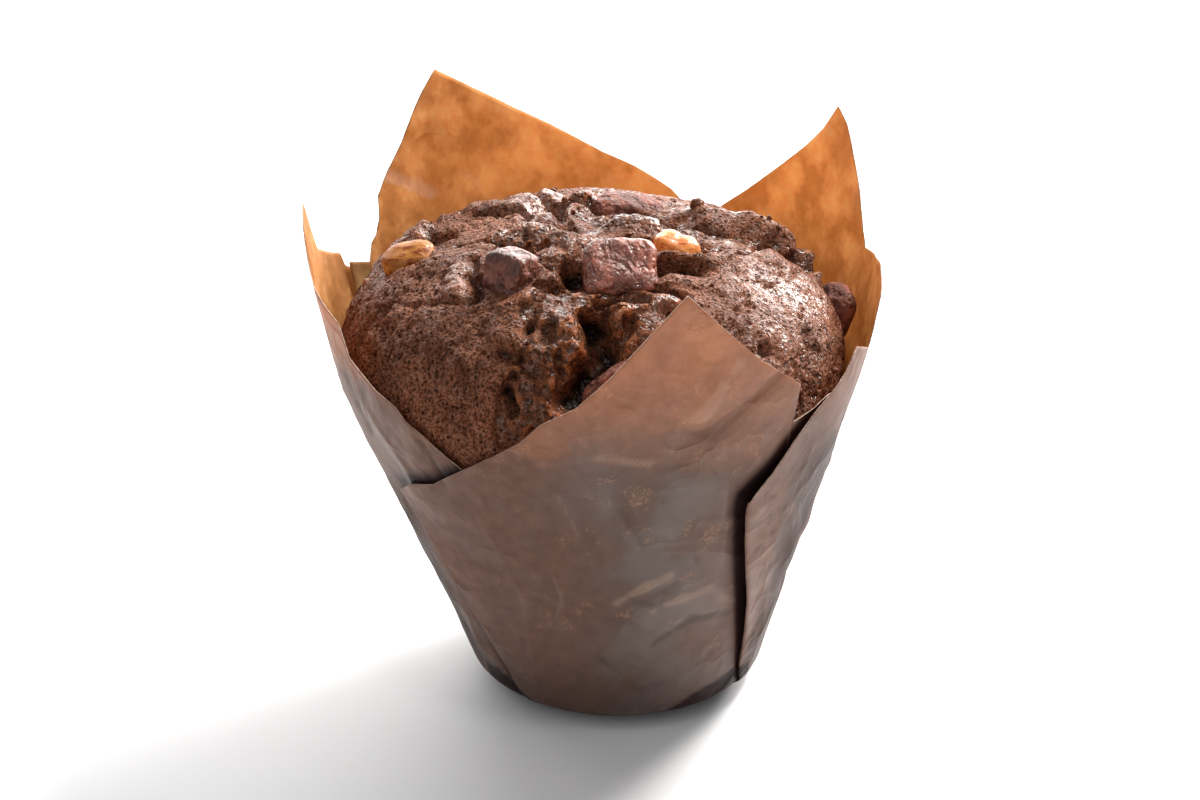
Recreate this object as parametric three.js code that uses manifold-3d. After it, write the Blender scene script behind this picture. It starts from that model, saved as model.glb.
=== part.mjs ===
// A chocolate chunk muffin in its tulip paper case, in millimetres with +Z up.
// The origin is the middle of the flat base, where the case rests on the table.
// Azimuths are in degrees, anticlockwise from +X seen from above; the front is at 270.

import * as THREE from 'three';
import { mergeVertices } from 'three/addons/utils/BufferGeometryUtils.js';
import Module from 'manifold-3d';

const wasm = await Module();
wasm.setup();

// ---- Driving dimensions -------------------------------------------------------------

// The case is a cup pressed from one square sheet. Its wall is a cone up to BEND_START,
// and from there the free petals stand up more steeply.
const BASE_RADIUS = 25;
const WALL_SLOPE = 0.345;
const PETAL_SLOPE = 0.16;
const BEND_START = 52;
const BEND_END = 75;
const LEAN_SLOPE = -0.0575;
const LEAN_TOP = 60;
const FOOT_ROUND_WIDTH = 6;
const FOOT_ROUND_HEIGHT = 5;

// The sheet, and how far apart the three layers of a pleat lie.
const PAPER_THICKNESS = 0.45;
const LAYER_PITCH = 0.75;
const FOLD_REACH = 0.4;
const PLEAT_RAMP = 12;
const PLEAT_SWING = 6;
const PLEAT_FOOT = 3;
const PLEAT_PANELS = 3;
const PLEAT_TOP = 50;
const PLEAT_DIP = 1;
const FLARE_TOP = 80;

// Heights of the rings of the wall: smooth at the foot, one with the layers already
// lifted apart, then the folded ones; above the last one the rings follow the petals.
const SMOOTH_RINGS = [PAPER_THICKNESS / 2, 1.3, 3];
const LIFTED_RING = 5;
const FOLDED_RINGS = [9, 18, 29, 40];
const PETAL_STEPS = 3;

// Each petal runs from its outer fold, which lies on top of its neighbour, to its inner
// fold, tucked under the next petal. edge holds its upper edge as [azimuth, height],
// foldFoot and tuckFoot are the azimuths of its two folds at the floor, bend says how
// quickly the outer fold swings from its foot to its top, and flare is how far the petal's
// middle leans out at FLARE_TOP.
const PETALS = [
  {
    foldFoot: 232, tuckFoot: 329, bend: 2.5, flare: 0,
    edge: [[212.5, 46.5], [220, 49.5], [229, 52], [239.5, 57.5], [247, 61.5], [254, 65.5],
      [258.5, 69.5], [265.5, 73], [272, 78.5], [279, 86], [285.5, 93], [293.5, 85.5],
      [302, 78.5], [314, 71], [314.5, 63.5], [320, 64], [326, 65.5]],
  },
  {
    foldFoot: 327, tuckFoot: 430, bend: 1.5, flare: 0,
    edge: [[302.5, 51], [308.5, 55], [314, 60], [320, 64.5], [325.5, 67], [329.5, 68.5],
      [333, 72], [340, 69.5], [348, 66.5], [350.5, 69], [352.5, 75], [361, 77.5],
      [368, 77], [375, 76], [381, 82], [386, 88], [391, 94], [394.5, 96.5],
      [398, 91.5], [402, 87.5], [407.5, 83], [416, 76.5], [422, 72.5], [428, 67.5],
      [435, 61]],
  },
  {
    foldFoot: 426, tuckFoot: 514, bend: 1.5, flare: 0,
    edge: [[415, 59], [422, 64], [427, 69], [431.5, 72.5], [433.5, 74], [442, 78],
      [449, 80.5], [460.5, 86], [468, 89.5], [474.5, 93], [485.5, 99], [489.5, 95],
      [496, 87.5], [501, 83.5], [505.5, 80], [506.5, 76], [508.5, 73.5], [510.5, 72.5],
      [512.5, 69.5], [519.5, 71.5]],
  },
  {
    foldFoot: 510, tuckFoot: 595, bend: 1.5, flare: 0.5,
    edge: [[500, 59], [507, 64], [514, 68], [519.5, 71], [520.5, 73.5], [526, 75.5],
      [533, 78.5], [534.5, 82.5], [537, 88.5], [543, 86], [550, 79.5], [559, 79.5],
      [565.5, 78], [569, 77], [570, 71], [578.5, 67.5], [584.5, 66], [586.5, 64],
      [592, 61.5], [598, 58], [607, 52]],
  },
];

// The cake fills the case and rises out of it as a dome.
const CAKE_FLOOR = 0.8;
const CAKE_CLEARANCE = 1.1;
const CROWN_CENTRE_X = -4.8;
const CROWN_WAIST = 59.5;
const CROWN_RADIUS = 42.6;
const CROWN_RISE = 24.2;
const CROWN_SQUARENESS = 2.57;
const CAKE_HEART_HEIGHT = 50;
const CAKE_DETAIL = 16;
const CROWN_SHARE = 0.5;
const RELIEF_START = 54;
const RELIEF_FULL = 62;
const CRACK_WIDTH = 2.2;
const PLATE_ROLL = 0.5;
const LUMP_SPACING = 7;
const RAY_LENGTH = 120;
const HALVINGS = 30;

// The dome has burst into plates of crust with torn crumb between them. at is a plate's
// middle, reach how far it spreads, lift how far it stands out, rough the height of its
// lumps, and crack the depth of the crack round it.
const PLATES = [
  { at: [-30, -25, 74], reach: 21, lift: 1.8, rough: 0.3, crack: 3 },
  { at: [-13, -39, 70], reach: 9, lift: 0.4, rough: 0.9, crack: 3 },
  { at: [-10, -31, 79], reach: 8, lift: 1.2, rough: 0.7, crack: 3.4 },
  { at: [7, -31, 79], reach: 8, lift: 1.4, rough: 0.7, crack: 3.4 },
  { at: [26, -17, 77], reach: 21, lift: 1.8, rough: 0.3, crack: 2.6 },
  { at: [20, 0, 83], reach: 12, lift: 1.3, rough: 0.5, crack: 1.8 },
  { at: [17, 17, 82], reach: 14, lift: 1.2, rough: 0.3, crack: 1.2 },
  { at: [3, 7, 86], reach: 8, lift: 1.4, rough: 0.9, crack: 2.2 },
  { at: [-8, 5, 86], reach: 7, lift: 1.5, rough: 0.9, crack: 2.4 },
  { at: [-13, -9, 85], reach: 8, lift: 1.0, rough: 0.9, crack: 2.6 },
  { at: [-25, 8, 84], reach: 14, lift: 1.8, rough: 0.3, crack: 1.4 },
  { at: [-39, 4, 79], reach: 9, lift: 1.6, rough: 0.4, crack: 1.6 },
  { at: [-30, 27, 73], reach: 15, lift: 1.2, rough: 0.4, crack: 0.8 },
  { at: [-6, 27, 80], reach: 14, lift: 1.4, rough: 0.4, crack: 1.4 },
  { at: [10, 36, 69], reach: 15, lift: 1.0, rough: 0.4, crack: 0.6 },
  { at: [31, 18, 72], reach: 14, lift: 1.1, rough: 0.4, crack: 0.8 },
];

// Fissures and holes: the line they follow, how wide they are and how deep.
const FISSURES = [
  { from: [-4, -26, 82], to: [1, -33, 78], width: 3.4, depth: 5.5 },
  { from: [1, -33, 78], to: [-7, -41, 71], width: 3.2, depth: 6.0 },
  { from: [-17, -38, 74], to: [-15, -40, 71], width: 2.6, depth: 3.6 },
  { from: [-7.5, -16, 84], to: [-7, -19, 83], width: 3.0, depth: 4.5 },
  { from: [-31, 0, 82], to: [-36, 6, 80], width: 2.6, depth: 3.0 },
  { from: [29, 0, 79], to: [14, -9, 83], width: 2.4, depth: 2.4 },
];

// Pieces baked into the dome. size is [length, width, depth], turn is the rotation about
// X, Y and Z in degrees, and squareness goes from 2, a pebble, to 8, a block.
const CHOCOLATE = 0x3a1e17;
const NUT = 0xc07a35;
const INCLUSIONS = [
  {
    name: 'chunk_centre', colour: CHOCOLATE, squareness: 6,
    at: [0, -16, 83], size: [12, 10, 8], turn: [44, 0, 4],
  },
  {
    name: 'chunk_left', colour: CHOCOLATE, squareness: 8,
    at: [-18.3, -18.3, 82.2], size: [7.2, 6.6, 10.5], turn: [-10, 2, -33],
  },
  {
    name: 'chunk_top', colour: CHOCOLATE, squareness: 3,
    at: [1.5, 13, 82.4], size: [12.5, 9, 5.5], turn: [0, 6, 8],
  },
  {
    name: 'chunk_right', colour: CHOCOLATE, squareness: 3,
    at: [37.5, 4.5, 67], size: [6, 8.5, 10], turn: [0, 18, 10],
  },
  {
    name: 'chunk_front', colour: CHOCOLATE, squareness: 3,
    at: [-1.5, -38.5, 72], size: [10.5, 5.5, 5.5], turn: [0, -38, 0],
  },
  {
    name: 'nut_golden', colour: NUT, squareness: 2.5,
    at: [9.5, -8, 84], size: [8, 6, 5.5], turn: [10, 12, -14],
  },
  {
    name: 'nut_amber', colour: NUT, squareness: 2.5,
    at: [-36, -1.5, 79.5], size: [9.5, 6.5, 5], turn: [20, -14, 6],
  },
];
const INCLUSION_SIDES = 4;
const INCLUSION_GAP = 0.35;
const INCLUSION_WOBBLE = 0.05;

// ---- Small helpers ------------------------------------------------------------------

const radians = THREE.MathUtils.degToRad;
const smoothstep = THREE.MathUtils.smoothstep;
const lerp = THREE.MathUtils.lerp;

function makeGeometry(positions, indices) {
  const geometry = new THREE.BufferGeometry();
  geometry.setAttribute('position', new THREE.Float32BufferAttribute(positions, 3));
  geometry.setIndex(indices);
  geometry.computeVertexNormals();
  return geometry;
}

function makeMesh(name, geometry, colour, roughness) {
  const material = new THREE.MeshStandardMaterial({ color: colour, roughness, metalness: 0 });
  const mesh = new THREE.Mesh(geometry, material);
  mesh.name = name;
  return mesh;
}

// Corners shared by neighbouring triangles, with positions alone.
function welded(geometry) {
  const bare = geometry.clone();
  bare.deleteAttribute('normal');
  bare.deleteAttribute('uv');
  return mergeVertices(bare, 1e-4);
}

function toSolid(geometry) {
  const bare = welded(geometry);
  return new wasm.Manifold(new wasm.Mesh({
    numProp: 3,
    vertProperties: new Float32Array(bare.attributes.position.array),
    triVerts: new Uint32Array(bare.index.array),
  }));
}

function fromSolid(solid) {
  const { vertProperties, triVerts } = solid.getMesh();
  return makeGeometry(Array.from(vertProperties), Array.from(triVerts));
}

// Smooth noise between -1 and 1: sines along three slanted directions, bent by each other.
function lumpNoise(point, wavelength) {
  const k = (2 * Math.PI) / wavelength;
  const a = Math.sin(k * (point.x + 0.4 * point.y) + 1.7 * Math.sin(k * 0.6 * point.z));
  const b = Math.sin(k * (0.9 * point.y - 0.5 * point.z) + 1.3 * Math.sin(k * 0.7 * point.x));
  const c = Math.sin(k * (0.8 * point.z + 0.3 * point.x) + 1.9 * Math.sin(k * 0.5 * point.y));
  return (a + b + c) / 3;
}

// ---- The cup's form -----------------------------------------------------------------

// Radius of the wall's outer face: a cone, bent upright between BEND_START and BEND_END,
// and drawn in over the rounded foot.
function wallRadius(z) {
  const bend = BEND_END - BEND_START;
  const bent = THREE.MathUtils.clamp(z - BEND_START, 0, bend);
  const above = Math.max(z - BEND_END, 0);
  const straighter = (WALL_SLOPE - PETAL_SLOPE) * ((bent * bent) / (2 * bend) + above);
  const foot = Math.max(1 - z / FOOT_ROUND_HEIGHT, 0);
  return BASE_RADIUS + WALL_SLOPE * z - straighter - FOOT_ROUND_WIDTH * foot * foot;
}

// Where the cup's axis stands at a height: the cup leans a little to one side.
function axisX(z) {
  return LEAN_SLOPE * Math.min(z, LEAN_TOP);
}

function onCup(azimuth, z, standoff) {
  const angle = radians(azimuth);
  const radius = wallRadius(z) - PAPER_THICKNESS / 2 + standoff;
  return new THREE.Vector3(axisX(z) + radius * Math.cos(angle), radius * Math.sin(angle), z);
}

// ---- The paper case: one sheet, with four pleats ------------------------------------

// A fold's azimuth at a height, swinging from its foot to its top.
function foldAzimuth(foot, top, bend, z) {
  const below = Math.max(PLEAT_TOP - z, 0) / PLEAT_TOP;
  return lerp(top, foot, below ** bend);
}

// The pleat that ends a petal: its tucked edge, and the outer fold of the next petal.
function pleatAfter(index) {
  const petal = PETALS[index];
  const next = PETALS[(index + 1) % PETALS.length];
  const turns = index + 1 < PETALS.length ? 0 : 360;
  const tuckTop = petal.edge[petal.edge.length - 1];
  const foldTop = next.edge[0];
  return {
    tuck: (z) => foldAzimuth(petal.tuckFoot, tuckTop[0], 1, z),
    fold: (z) => foldAzimuth(next.foldFoot, foldTop[0], next.bend, z) + turns,
    tuckTop,
    foldTop: [foldTop[0] + turns, foldTop[1]],
    middle: (petal.tuckFoot + next.foldFoot + turns) / 2,
  };
}

// One ring's two folds. Unfolded rings put them in order, a few degrees apart.
function foldsAt(pleat, z, folded) {
  if (folded) {
    return { tuck: pleat.tuck(z), fold: pleat.fold(z), side: -1 };
  }
  return { tuck: pleat.middle - PLEAT_FOOT, fold: pleat.middle + PLEAT_FOOT, side: 1 };
}

// The columns of the sheet in order round the cup. Each gives its top height and, for a
// ring, its azimuth and how many layers it stands off the cup.
function sheetColumns() {
  const pleats = PETALS.map((petal, index) => pleatAfter(index));
  const columns = [];
  PETALS.forEach((petal, index) => {
    const after = pleats[index];
    const before = pleats[(index + PETALS.length - 1) % PETALS.length];
    const turns = index > 0 ? 0 : 360;
    const start = petal.edge[0][0];
    const span = petal.edge[petal.edge.length - 1][0] - start;
    for (const [azimuth, top] of petal.edge) {
      const share = (azimuth - start) / span;
      columns.push({
        top,
        place: (z, folded) => {
          const reach = THREE.MathUtils.radToDeg(FOLD_REACH / wallRadius(z));
          const from = foldsAt(before, z, folded).fold - turns + reach;
          const to = foldsAt(after, z, folded).tuck - reach;
          const here = lerp(from, to, share);
          const overTuck = before.tuckTop[0] - turns;
          const underFold = after.foldTop[0];
          const raised = 1 - smoothstep(azimuth, overTuck, overTuck + PLEAT_RAMP);
          const sunk = smoothstep(azimuth, underFold - PLEAT_RAMP, underFold);
          const lean = Math.sin(Math.PI * share) * smoothstep(z, BEND_START, FLARE_TOP);
          const layers = raised - sunk + (petal.flare * lean) / LAYER_PITCH;
          return { azimuth: here, layers };
        },
      });
    }
    columns.push({
      top: after.tuckTop[1],
      place: (z, folded) => ({ azimuth: foldsAt(after, z, folded).tuck, layers: -0.5 }),
    });
    for (let i = 0; i <= PLEAT_PANELS; i += 1) {
      const share = i / PLEAT_PANELS;
      columns.push({
        top: lerp(after.tuckTop[1], after.foldTop[1], share) - PLEAT_DIP,
        place: (z, folded) => {
          const reach = THREE.MathUtils.radToDeg(FOLD_REACH / wallRadius(z));
          const { tuck, fold, side } = foldsAt(after, z, folded);
          return { azimuth: lerp(tuck + side * reach, fold - side * reach, share), layers: 0 };
        },
      });
    }
    columns.push({
      top: after.foldTop[1],
      place: (z, folded) => ({ azimuth: foldsAt(after, z, folded).fold, layers: 0.5 }),
    });
  });
  return columns;
}

// The rings from the foot up, each as the points of the sheet's middle surface.
function sheetRings(columns) {
  const ring = (heightOf, folded, lift) => columns.map((column) => {
    const z = heightOf(column);
    const { azimuth, layers } = column.place(z, folded);
    return onCup(azimuth, z, lift * layers * LAYER_PITCH);
  });
  const rings = SMOOTH_RINGS.map((z) => ring(() => z, false, 0));
  rings.push(ring(() => LIFTED_RING, false, 1));
  for (const z of FOLDED_RINGS) {
    rings.push(ring(() => z, true, 1));
  }
  const last = FOLDED_RINGS[FOLDED_RINGS.length - 1];
  for (let step = 1; step <= PETAL_STEPS; step += 1) {
    rings.push(ring((column) => lerp(last, column.top, step / PETAL_STEPS), true, 1));
  }
  return rings;
}

function direction(from, to) {
  return new THREE.Vector3().subVectors(to, from).normalize();
}

// The sheet's outward direction at a point, from the mean directions of the grid there.
function sheetNormal(rings, row, column) {
  if (row === 0) {
    return new THREE.Vector3(0, 0, -1);
  }
  const ring = rings[row];
  const here = ring[column];
  const before = ring[(column + ring.length - 1) % ring.length];
  const after = ring[(column + 1) % ring.length];
  const round = direction(before, here).add(direction(here, after));
  const up = direction(rings[row - 1][column], here);
  if (row + 1 < rings.length) {
    up.add(direction(here, rings[row + 1][column]));
  }
  return round.cross(up).normalize();
}

function paperCase() {
  const rings = sheetRings(sheetColumns());
  const count = rings[0].length;
  const half = PAPER_THICKNESS / 2;
  const positions = [];
  const indices = [];
  for (const side of [1, -1]) {
    rings.forEach((ring, row) => {
      ring.forEach((point, column) => {
        const place = sheetNormal(rings, row, column).multiplyScalar(side * half).add(point);
        positions.push(place.x, place.y, place.z);
      });
    });
    positions.push(0, 0, half - side * half);
  }
  const sheetSize = rings.length * count + 1;
  const corner = (sheet, row, column) => sheet * sheetSize + row * count + (column % count);
  const quad = (a, b, c, d) => indices.push(a, b, c, a, c, d);
  for (let column = 0; column < count; column += 1) {
    const next = column + 1;
    for (let row = 0; row + 1 < rings.length; row += 1) {
      const above = row + 1;
      quad(corner(0, row, column), corner(0, row, next), corner(0, above, next), corner(0, above, column));
      quad(corner(1, row, next), corner(1, row, column), corner(1, above, column), corner(1, above, next));
    }
    const top = rings.length - 1;
    quad(corner(0, top, column), corner(0, top, next), corner(1, top, next), corner(1, top, column));
    indices.push(sheetSize - 1, corner(0, 0, next), corner(0, 0, column));
    indices.push(2 * sheetSize - 1, corner(1, 0, column), corner(1, 0, next));
  }
  return makeGeometry(positions, indices);
}

// ---- The cake -----------------------------------------------------------------------

const HEART = new THREE.Vector3(CROWN_CENTRE_X, 0, CAKE_HEART_HEIGHT);

// How far the sheet is sunk at an azimuth, from 0 to 1, where it dives under a fold.
function sunkAt(azimuth) {
  let sunk = 0;
  PETALS.forEach((petal, index) => {
    const { foldTop, tuckTop } = pleatAfter(index);
    const middle = (foldTop[0] + tuckTop[0]) / 2;
    const halfWidth = (tuckTop[0] - foldTop[0]) / 2;
    const away = Math.abs(THREE.MathUtils.euclideanModulo(azimuth - middle + 180, 360) - 180);
    const clear = halfWidth + PLEAT_SWING;
    sunk = Math.max(sunk, 1 - smoothstep(away, clear, clear + PLEAT_RAMP));
  });
  return sunk;
}

// Inside the cup, with room for the paper and for what is tucked behind it.
function insideCup(point) {
  const x = point.x - axisX(point.z);
  const azimuth = THREE.MathUtils.radToDeg(Math.atan2(point.y, x));
  const room = CAKE_CLEARANCE + LAYER_PITCH * sunkAt(azimuth);
  return point.z > CAKE_FLOOR && Math.hypot(x, point.y) < wallRadius(point.z) - room;
}

// Inside the plain dome: a cylinder up to the waist, and a squarish ellipsoid above it.
function insideCrown(point) {
  const radius = Math.hypot(point.x - CROWN_CENTRE_X, point.y) / CROWN_RADIUS;
  const rise = Math.max(point.z - CROWN_WAIST, 0) / CROWN_RISE;
  return radius ** CROWN_SQUARENESS + rise ** CROWN_SQUARENESS < 1;
}

// How far the heart sees along a ray before it leaves the shape, by halving.
function reachOf(ray, inside) {
  const point = new THREE.Vector3();
  let near = 0;
  let far = RAY_LENGTH;
  for (let i = 0; i < HALVINGS; i += 1) {
    const middle = (near + far) / 2;
    point.copy(HEART).addScaledVector(ray, middle);
    if (inside(point)) {
      near = middle;
    } else {
      far = middle;
    }
  }
  return near;
}

function distanceToLine(point, from, to) {
  const line = new THREE.Line3(new THREE.Vector3(...from), new THREE.Vector3(...to));
  return line.closestPointToPoint(point, true, new THREE.Vector3()).distanceTo(point);
}

// The dome's relief: each point belongs to the plate it is nearest to for its reach, is
// lifted with it, and sinks into a crack where a second plate is as near.
function crustRelief(point) {
  const nearness = PLATES.map((plate) => ({
    plate,
    share: point.distanceTo(new THREE.Vector3(...plate.at)) / plate.reach,
  }));
  nearness.sort((a, b) => a.share - b.share);
  const [first, second] = nearness;
  const reach = (first.plate.reach + second.plate.reach) / 2;
  const fromEdge = ((second.share - first.share) * reach) / 2;
  const crack = (first.plate.crack + second.plate.crack) / 2;
  let relief = first.plate.lift * (1 - PLATE_ROLL * Math.min(first.share, 1) ** 2);
  relief -= crack * Math.exp(-((fromEdge / CRACK_WIDTH) ** 2));
  relief += first.plate.rough * lumpNoise(point, LUMP_SPACING);
  for (const { from, to, width, depth } of FISSURES) {
    relief -= depth * Math.exp(-((distanceToLine(point, from, to) / width) ** 2));
  }
  return relief;
}

// A sphere of directions, drawn upwards so that most of its triangles lie on the dome.
function cakeBody() {
  const geometry = welded(new THREE.IcosahedronGeometry(1, CAKE_DETAIL));
  const position = geometry.attributes.position;
  const ray = new THREE.Vector3();
  const point = new THREE.Vector3();
  for (let i = 0; i < position.count; i += 1) {
    ray.fromBufferAttribute(position, i);
    ray.z += CROWN_SHARE;
    ray.normalize();
    const cupReach = reachOf(ray, insideCup);
    const plainReach = Math.min(cupReach, reachOf(ray, insideCrown));
    point.copy(HEART).addScaledVector(ray, plainReach);
    const free = smoothstep(point.z, RELIEF_START, RELIEF_FULL);
    const reach = Math.min(cupReach, plainReach + free * crustRelief(point));
    point.copy(HEART).addScaledVector(ray, reach);
    position.setXYZ(i, point.x, point.y, point.z);
  }
  return geometry;
}

// ---- Chunks and nuts ----------------------------------------------------------------

// A rounded block: a box's surface pulled onto a superellipsoid, a little uneven, grown by
// a margin on every side where it stands for its own socket.
function inclusionGeometry({ at, size, turn, squareness }, margin) {
  const geometry = welded(new THREE.BoxGeometry(
    2, 2, 2, INCLUSION_SIDES, INCLUSION_SIDES, INCLUSION_SIDES,
  ));
  const position = geometry.attributes.position;
  const point = new THREE.Vector3();
  for (let i = 0; i < position.count; i += 1) {
    point.fromBufferAttribute(position, i);
    const sum = Math.abs(point.x) ** squareness + Math.abs(point.y) ** squareness
      + Math.abs(point.z) ** squareness;
    point.multiplyScalar(sum ** (-1 / squareness));
    const ripple = Math.sin(3 * point.x + 5 * point.y + 4 * point.z + at[0]);
    point.multiplyScalar(1 + INCLUSION_WOBBLE * ripple);
    position.setXYZ(
      i,
      point.x * (size[0] / 2 + margin),
      point.y * (size[1] / 2 + margin),
      point.z * (size[2] / 2 + margin),
    );
  }
  const turned = new THREE.Euler(radians(turn[0]), radians(turn[1]), radians(turn[2]), 'ZYX');
  geometry.applyMatrix4(new THREE.Matrix4().makeRotationFromEuler(turned));
  geometry.translate(...at);
  return geometry;
}

function cakeWithSockets() {
  let solid = toSolid(cakeBody());
  for (const inclusion of INCLUSIONS) {
    solid = solid.subtract(toSolid(inclusionGeometry(inclusion, INCLUSION_GAP)));
  }
  return fromSolid(solid);
}

// ---- The muffin ---------------------------------------------------------------------

const group = new THREE.Group();
group.add(makeMesh('cake', cakeWithSockets(), 0x4a3024, 0.9));
group.add(makeMesh('paper_case', paperCase(), 0x7a5440, 0.75));
for (const inclusion of INCLUSIONS) {
  group.add(makeMesh(inclusion.name, inclusionGeometry(inclusion, 0), inclusion.colour, 0.45));
}

export default group;
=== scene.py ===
"""A chocolate chunk muffin in its tulip paper case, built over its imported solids.

Shapes are worked out in millimetres, with +Z up and the front at -Y, and become metres in
their meshes. Azimuths are in degrees, anticlockwise from +X seen from above.
"""

import bpy
import numpy as np
from bpy.props import FloatProperty, FloatVectorProperty, IntProperty, PointerProperty
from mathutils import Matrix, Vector


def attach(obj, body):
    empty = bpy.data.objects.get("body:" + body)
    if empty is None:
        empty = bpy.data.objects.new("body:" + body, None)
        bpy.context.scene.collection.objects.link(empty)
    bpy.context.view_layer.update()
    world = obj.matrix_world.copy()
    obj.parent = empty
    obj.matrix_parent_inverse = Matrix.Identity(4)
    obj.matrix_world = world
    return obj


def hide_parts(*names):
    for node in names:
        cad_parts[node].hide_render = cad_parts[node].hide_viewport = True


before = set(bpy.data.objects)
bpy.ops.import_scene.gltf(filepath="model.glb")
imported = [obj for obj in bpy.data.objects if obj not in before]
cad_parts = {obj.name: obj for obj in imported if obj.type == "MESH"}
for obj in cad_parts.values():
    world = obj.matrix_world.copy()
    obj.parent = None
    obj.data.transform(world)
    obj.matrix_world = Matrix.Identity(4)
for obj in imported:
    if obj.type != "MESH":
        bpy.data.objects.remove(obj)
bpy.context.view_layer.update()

bl_info = {
    "name": "Chocolate chunk muffin",
    "version": (1, 0, 0),
    "blender": (4, 5, 0),
    "location": "3D View > Sidebar > Muffin",
    "description": "Bakes a chocolate chunk muffin in a pleated tulip paper case",
    "category": "Add Mesh",
}

MM = 0.001

# ---- The cup and its paper -------------------------------------------------------------

BASE_RADIUS = 25.0
WALL_SLOPE = 0.345
PETAL_SLOPE = 0.16
BEND_START = 52.0
BEND_END = 75.0
LEAN_SLOPE = -0.0575
LEAN_TOP = 60.0
FOOT_ROUND_WIDTH = 6.0
FOOT_ROUND_HEIGHT = 5.0
SHEET_MIDDLE = 0.225
LAYER_PITCH = 0.42
FOLD_REACH = 0.35
PLEAT_RAMP = 12.0
PLEAT_TOP = 50.0
PLEAT_DIP = 1.0
PLEAT_COLUMNS = 9
FLOOR_CROSSING = 0.25
FLARE_TOP = 80.0
STAND_REACH = 7.0
STRIP_REACH = 15.0
CRUMPLE_LIMIT = 0.7
CRUMPLE_INSET = 0.25
CREASE_ROUNDS = 8

# Where moist cake lies behind the front petal: azimuth and reach.
DAMP_MIDDLE = 281.0
DAMP_REACH = 26.0

# Rows of the sheet: below and above SHEET_SPLIT, and in the base inside the foot.
SHEET_FOOT = 0.15
SHEET_SPLIT = 40.0
LOW_ROWS = 42
HIGH_ROWS = 58
BASE_ROWS = 7
BASE_HOLE = 0.08
BASE_UNDERSIDE = 0.12
BASE_DOMING = 0.5

# The wall's rough radius at three heights, for measuring along it.
WALL_RADII = ((0, 60, 100), (26, 44, 50))

# Upper edge of the painted shade in the folded corners at the foot, as (azimuth, height).
FOOT_CORNERS = (
    (206, 0), (214, 9.4), (220, 9), (230, 7), (238, 4), (243, 0),
    (284, 0), (290, 4.5), (298, 6.8), (306, 8.2), (318, 9), (328, 9), (334, 0),
)

# Where the paper is darker: azimuth, reach, and height from and to.
DARK_PATCHES = ((334, 16, 8, 56), (564, 8, 6, 44))

# Each petal's two folds at the floor, how its outer fold bends, how far its middle leans
# out, how far its outer fold stands off, over how many degrees it gets painted shade beside
# the next petal, how fine its columns are, and its upper edge as (azimuth, height).
PETALS = (
    dict(
        fold_foot=232, tuck_foot=329, bend=1.0, flare=0.0, stand=0.5, shade=2.5, spacing=0.9,
        edge=((212.5, 46.5), (220, 49.5), (229, 52), (239.5, 57.5), (247, 61.5), (254, 65.5),
              (258.5, 69.5), (265.5, 73), (272, 78.5), (279, 86), (285.5, 93), (293.5, 85.5),
              (302, 78.5), (314, 71), (314.5, 63.5), (320, 64), (326, 65.5)),
    ),
    dict(
        fold_foot=327, tuck_foot=430, bend=1.5, flare=0.0, stand=2.0, shade=2.0, spacing=1.6,
        edge=((302.5, 51), (308.5, 55), (314, 60), (320, 64.5), (325.5, 67), (329.5, 68.5),
              (333, 72), (340, 69.5), (348, 66.5), (350.5, 69), (352.5, 75), (361, 77.5),
              (368, 77), (375, 76), (381, 82), (386, 88), (391, 94), (394.5, 96.5),
              (398, 91.5), (402, 87.5), (407.5, 83), (416, 76.5), (422, 72.5), (428, 67.5),
              (435, 61)),
    ),
    dict(
        fold_foot=426, tuck_foot=514, bend=1.5, flare=0.0, stand=0.5, shade=2.0, spacing=1.6,
        edge=((415, 59), (422, 64), (427, 69), (431.5, 72.5), (433.5, 74), (442, 78),
              (449, 80.5), (460.5, 86), (468, 89.5), (474.5, 93), (485.5, 99), (489.5, 95),
              (496, 87.5), (501, 83.5), (505.5, 80), (506.5, 76), (508.5, 73.5),
              (510.5, 72.5), (512.5, 69.5), (519.5, 71.5)),
    ),
    dict(
        fold_foot=510, tuck_foot=595, bend=1.5, flare=0.5, stand=0.5, shade=7.0, spacing=1.6,
        edge=((500, 59), (507, 64), (514, 68), (519.5, 71), (520.5, 73.5), (526, 75.5),
              (533, 78.5), (534.5, 82.5), (537, 88.5), (543, 86), (550, 79.5), (559, 79.5),
              (565.5, 78), (569, 77), (570, 71), (578.5, 67.5), (584.5, 66), (586.5, 64),
              (592, 61.5), (598, 58), (607, 52)),
    ),
)

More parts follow.
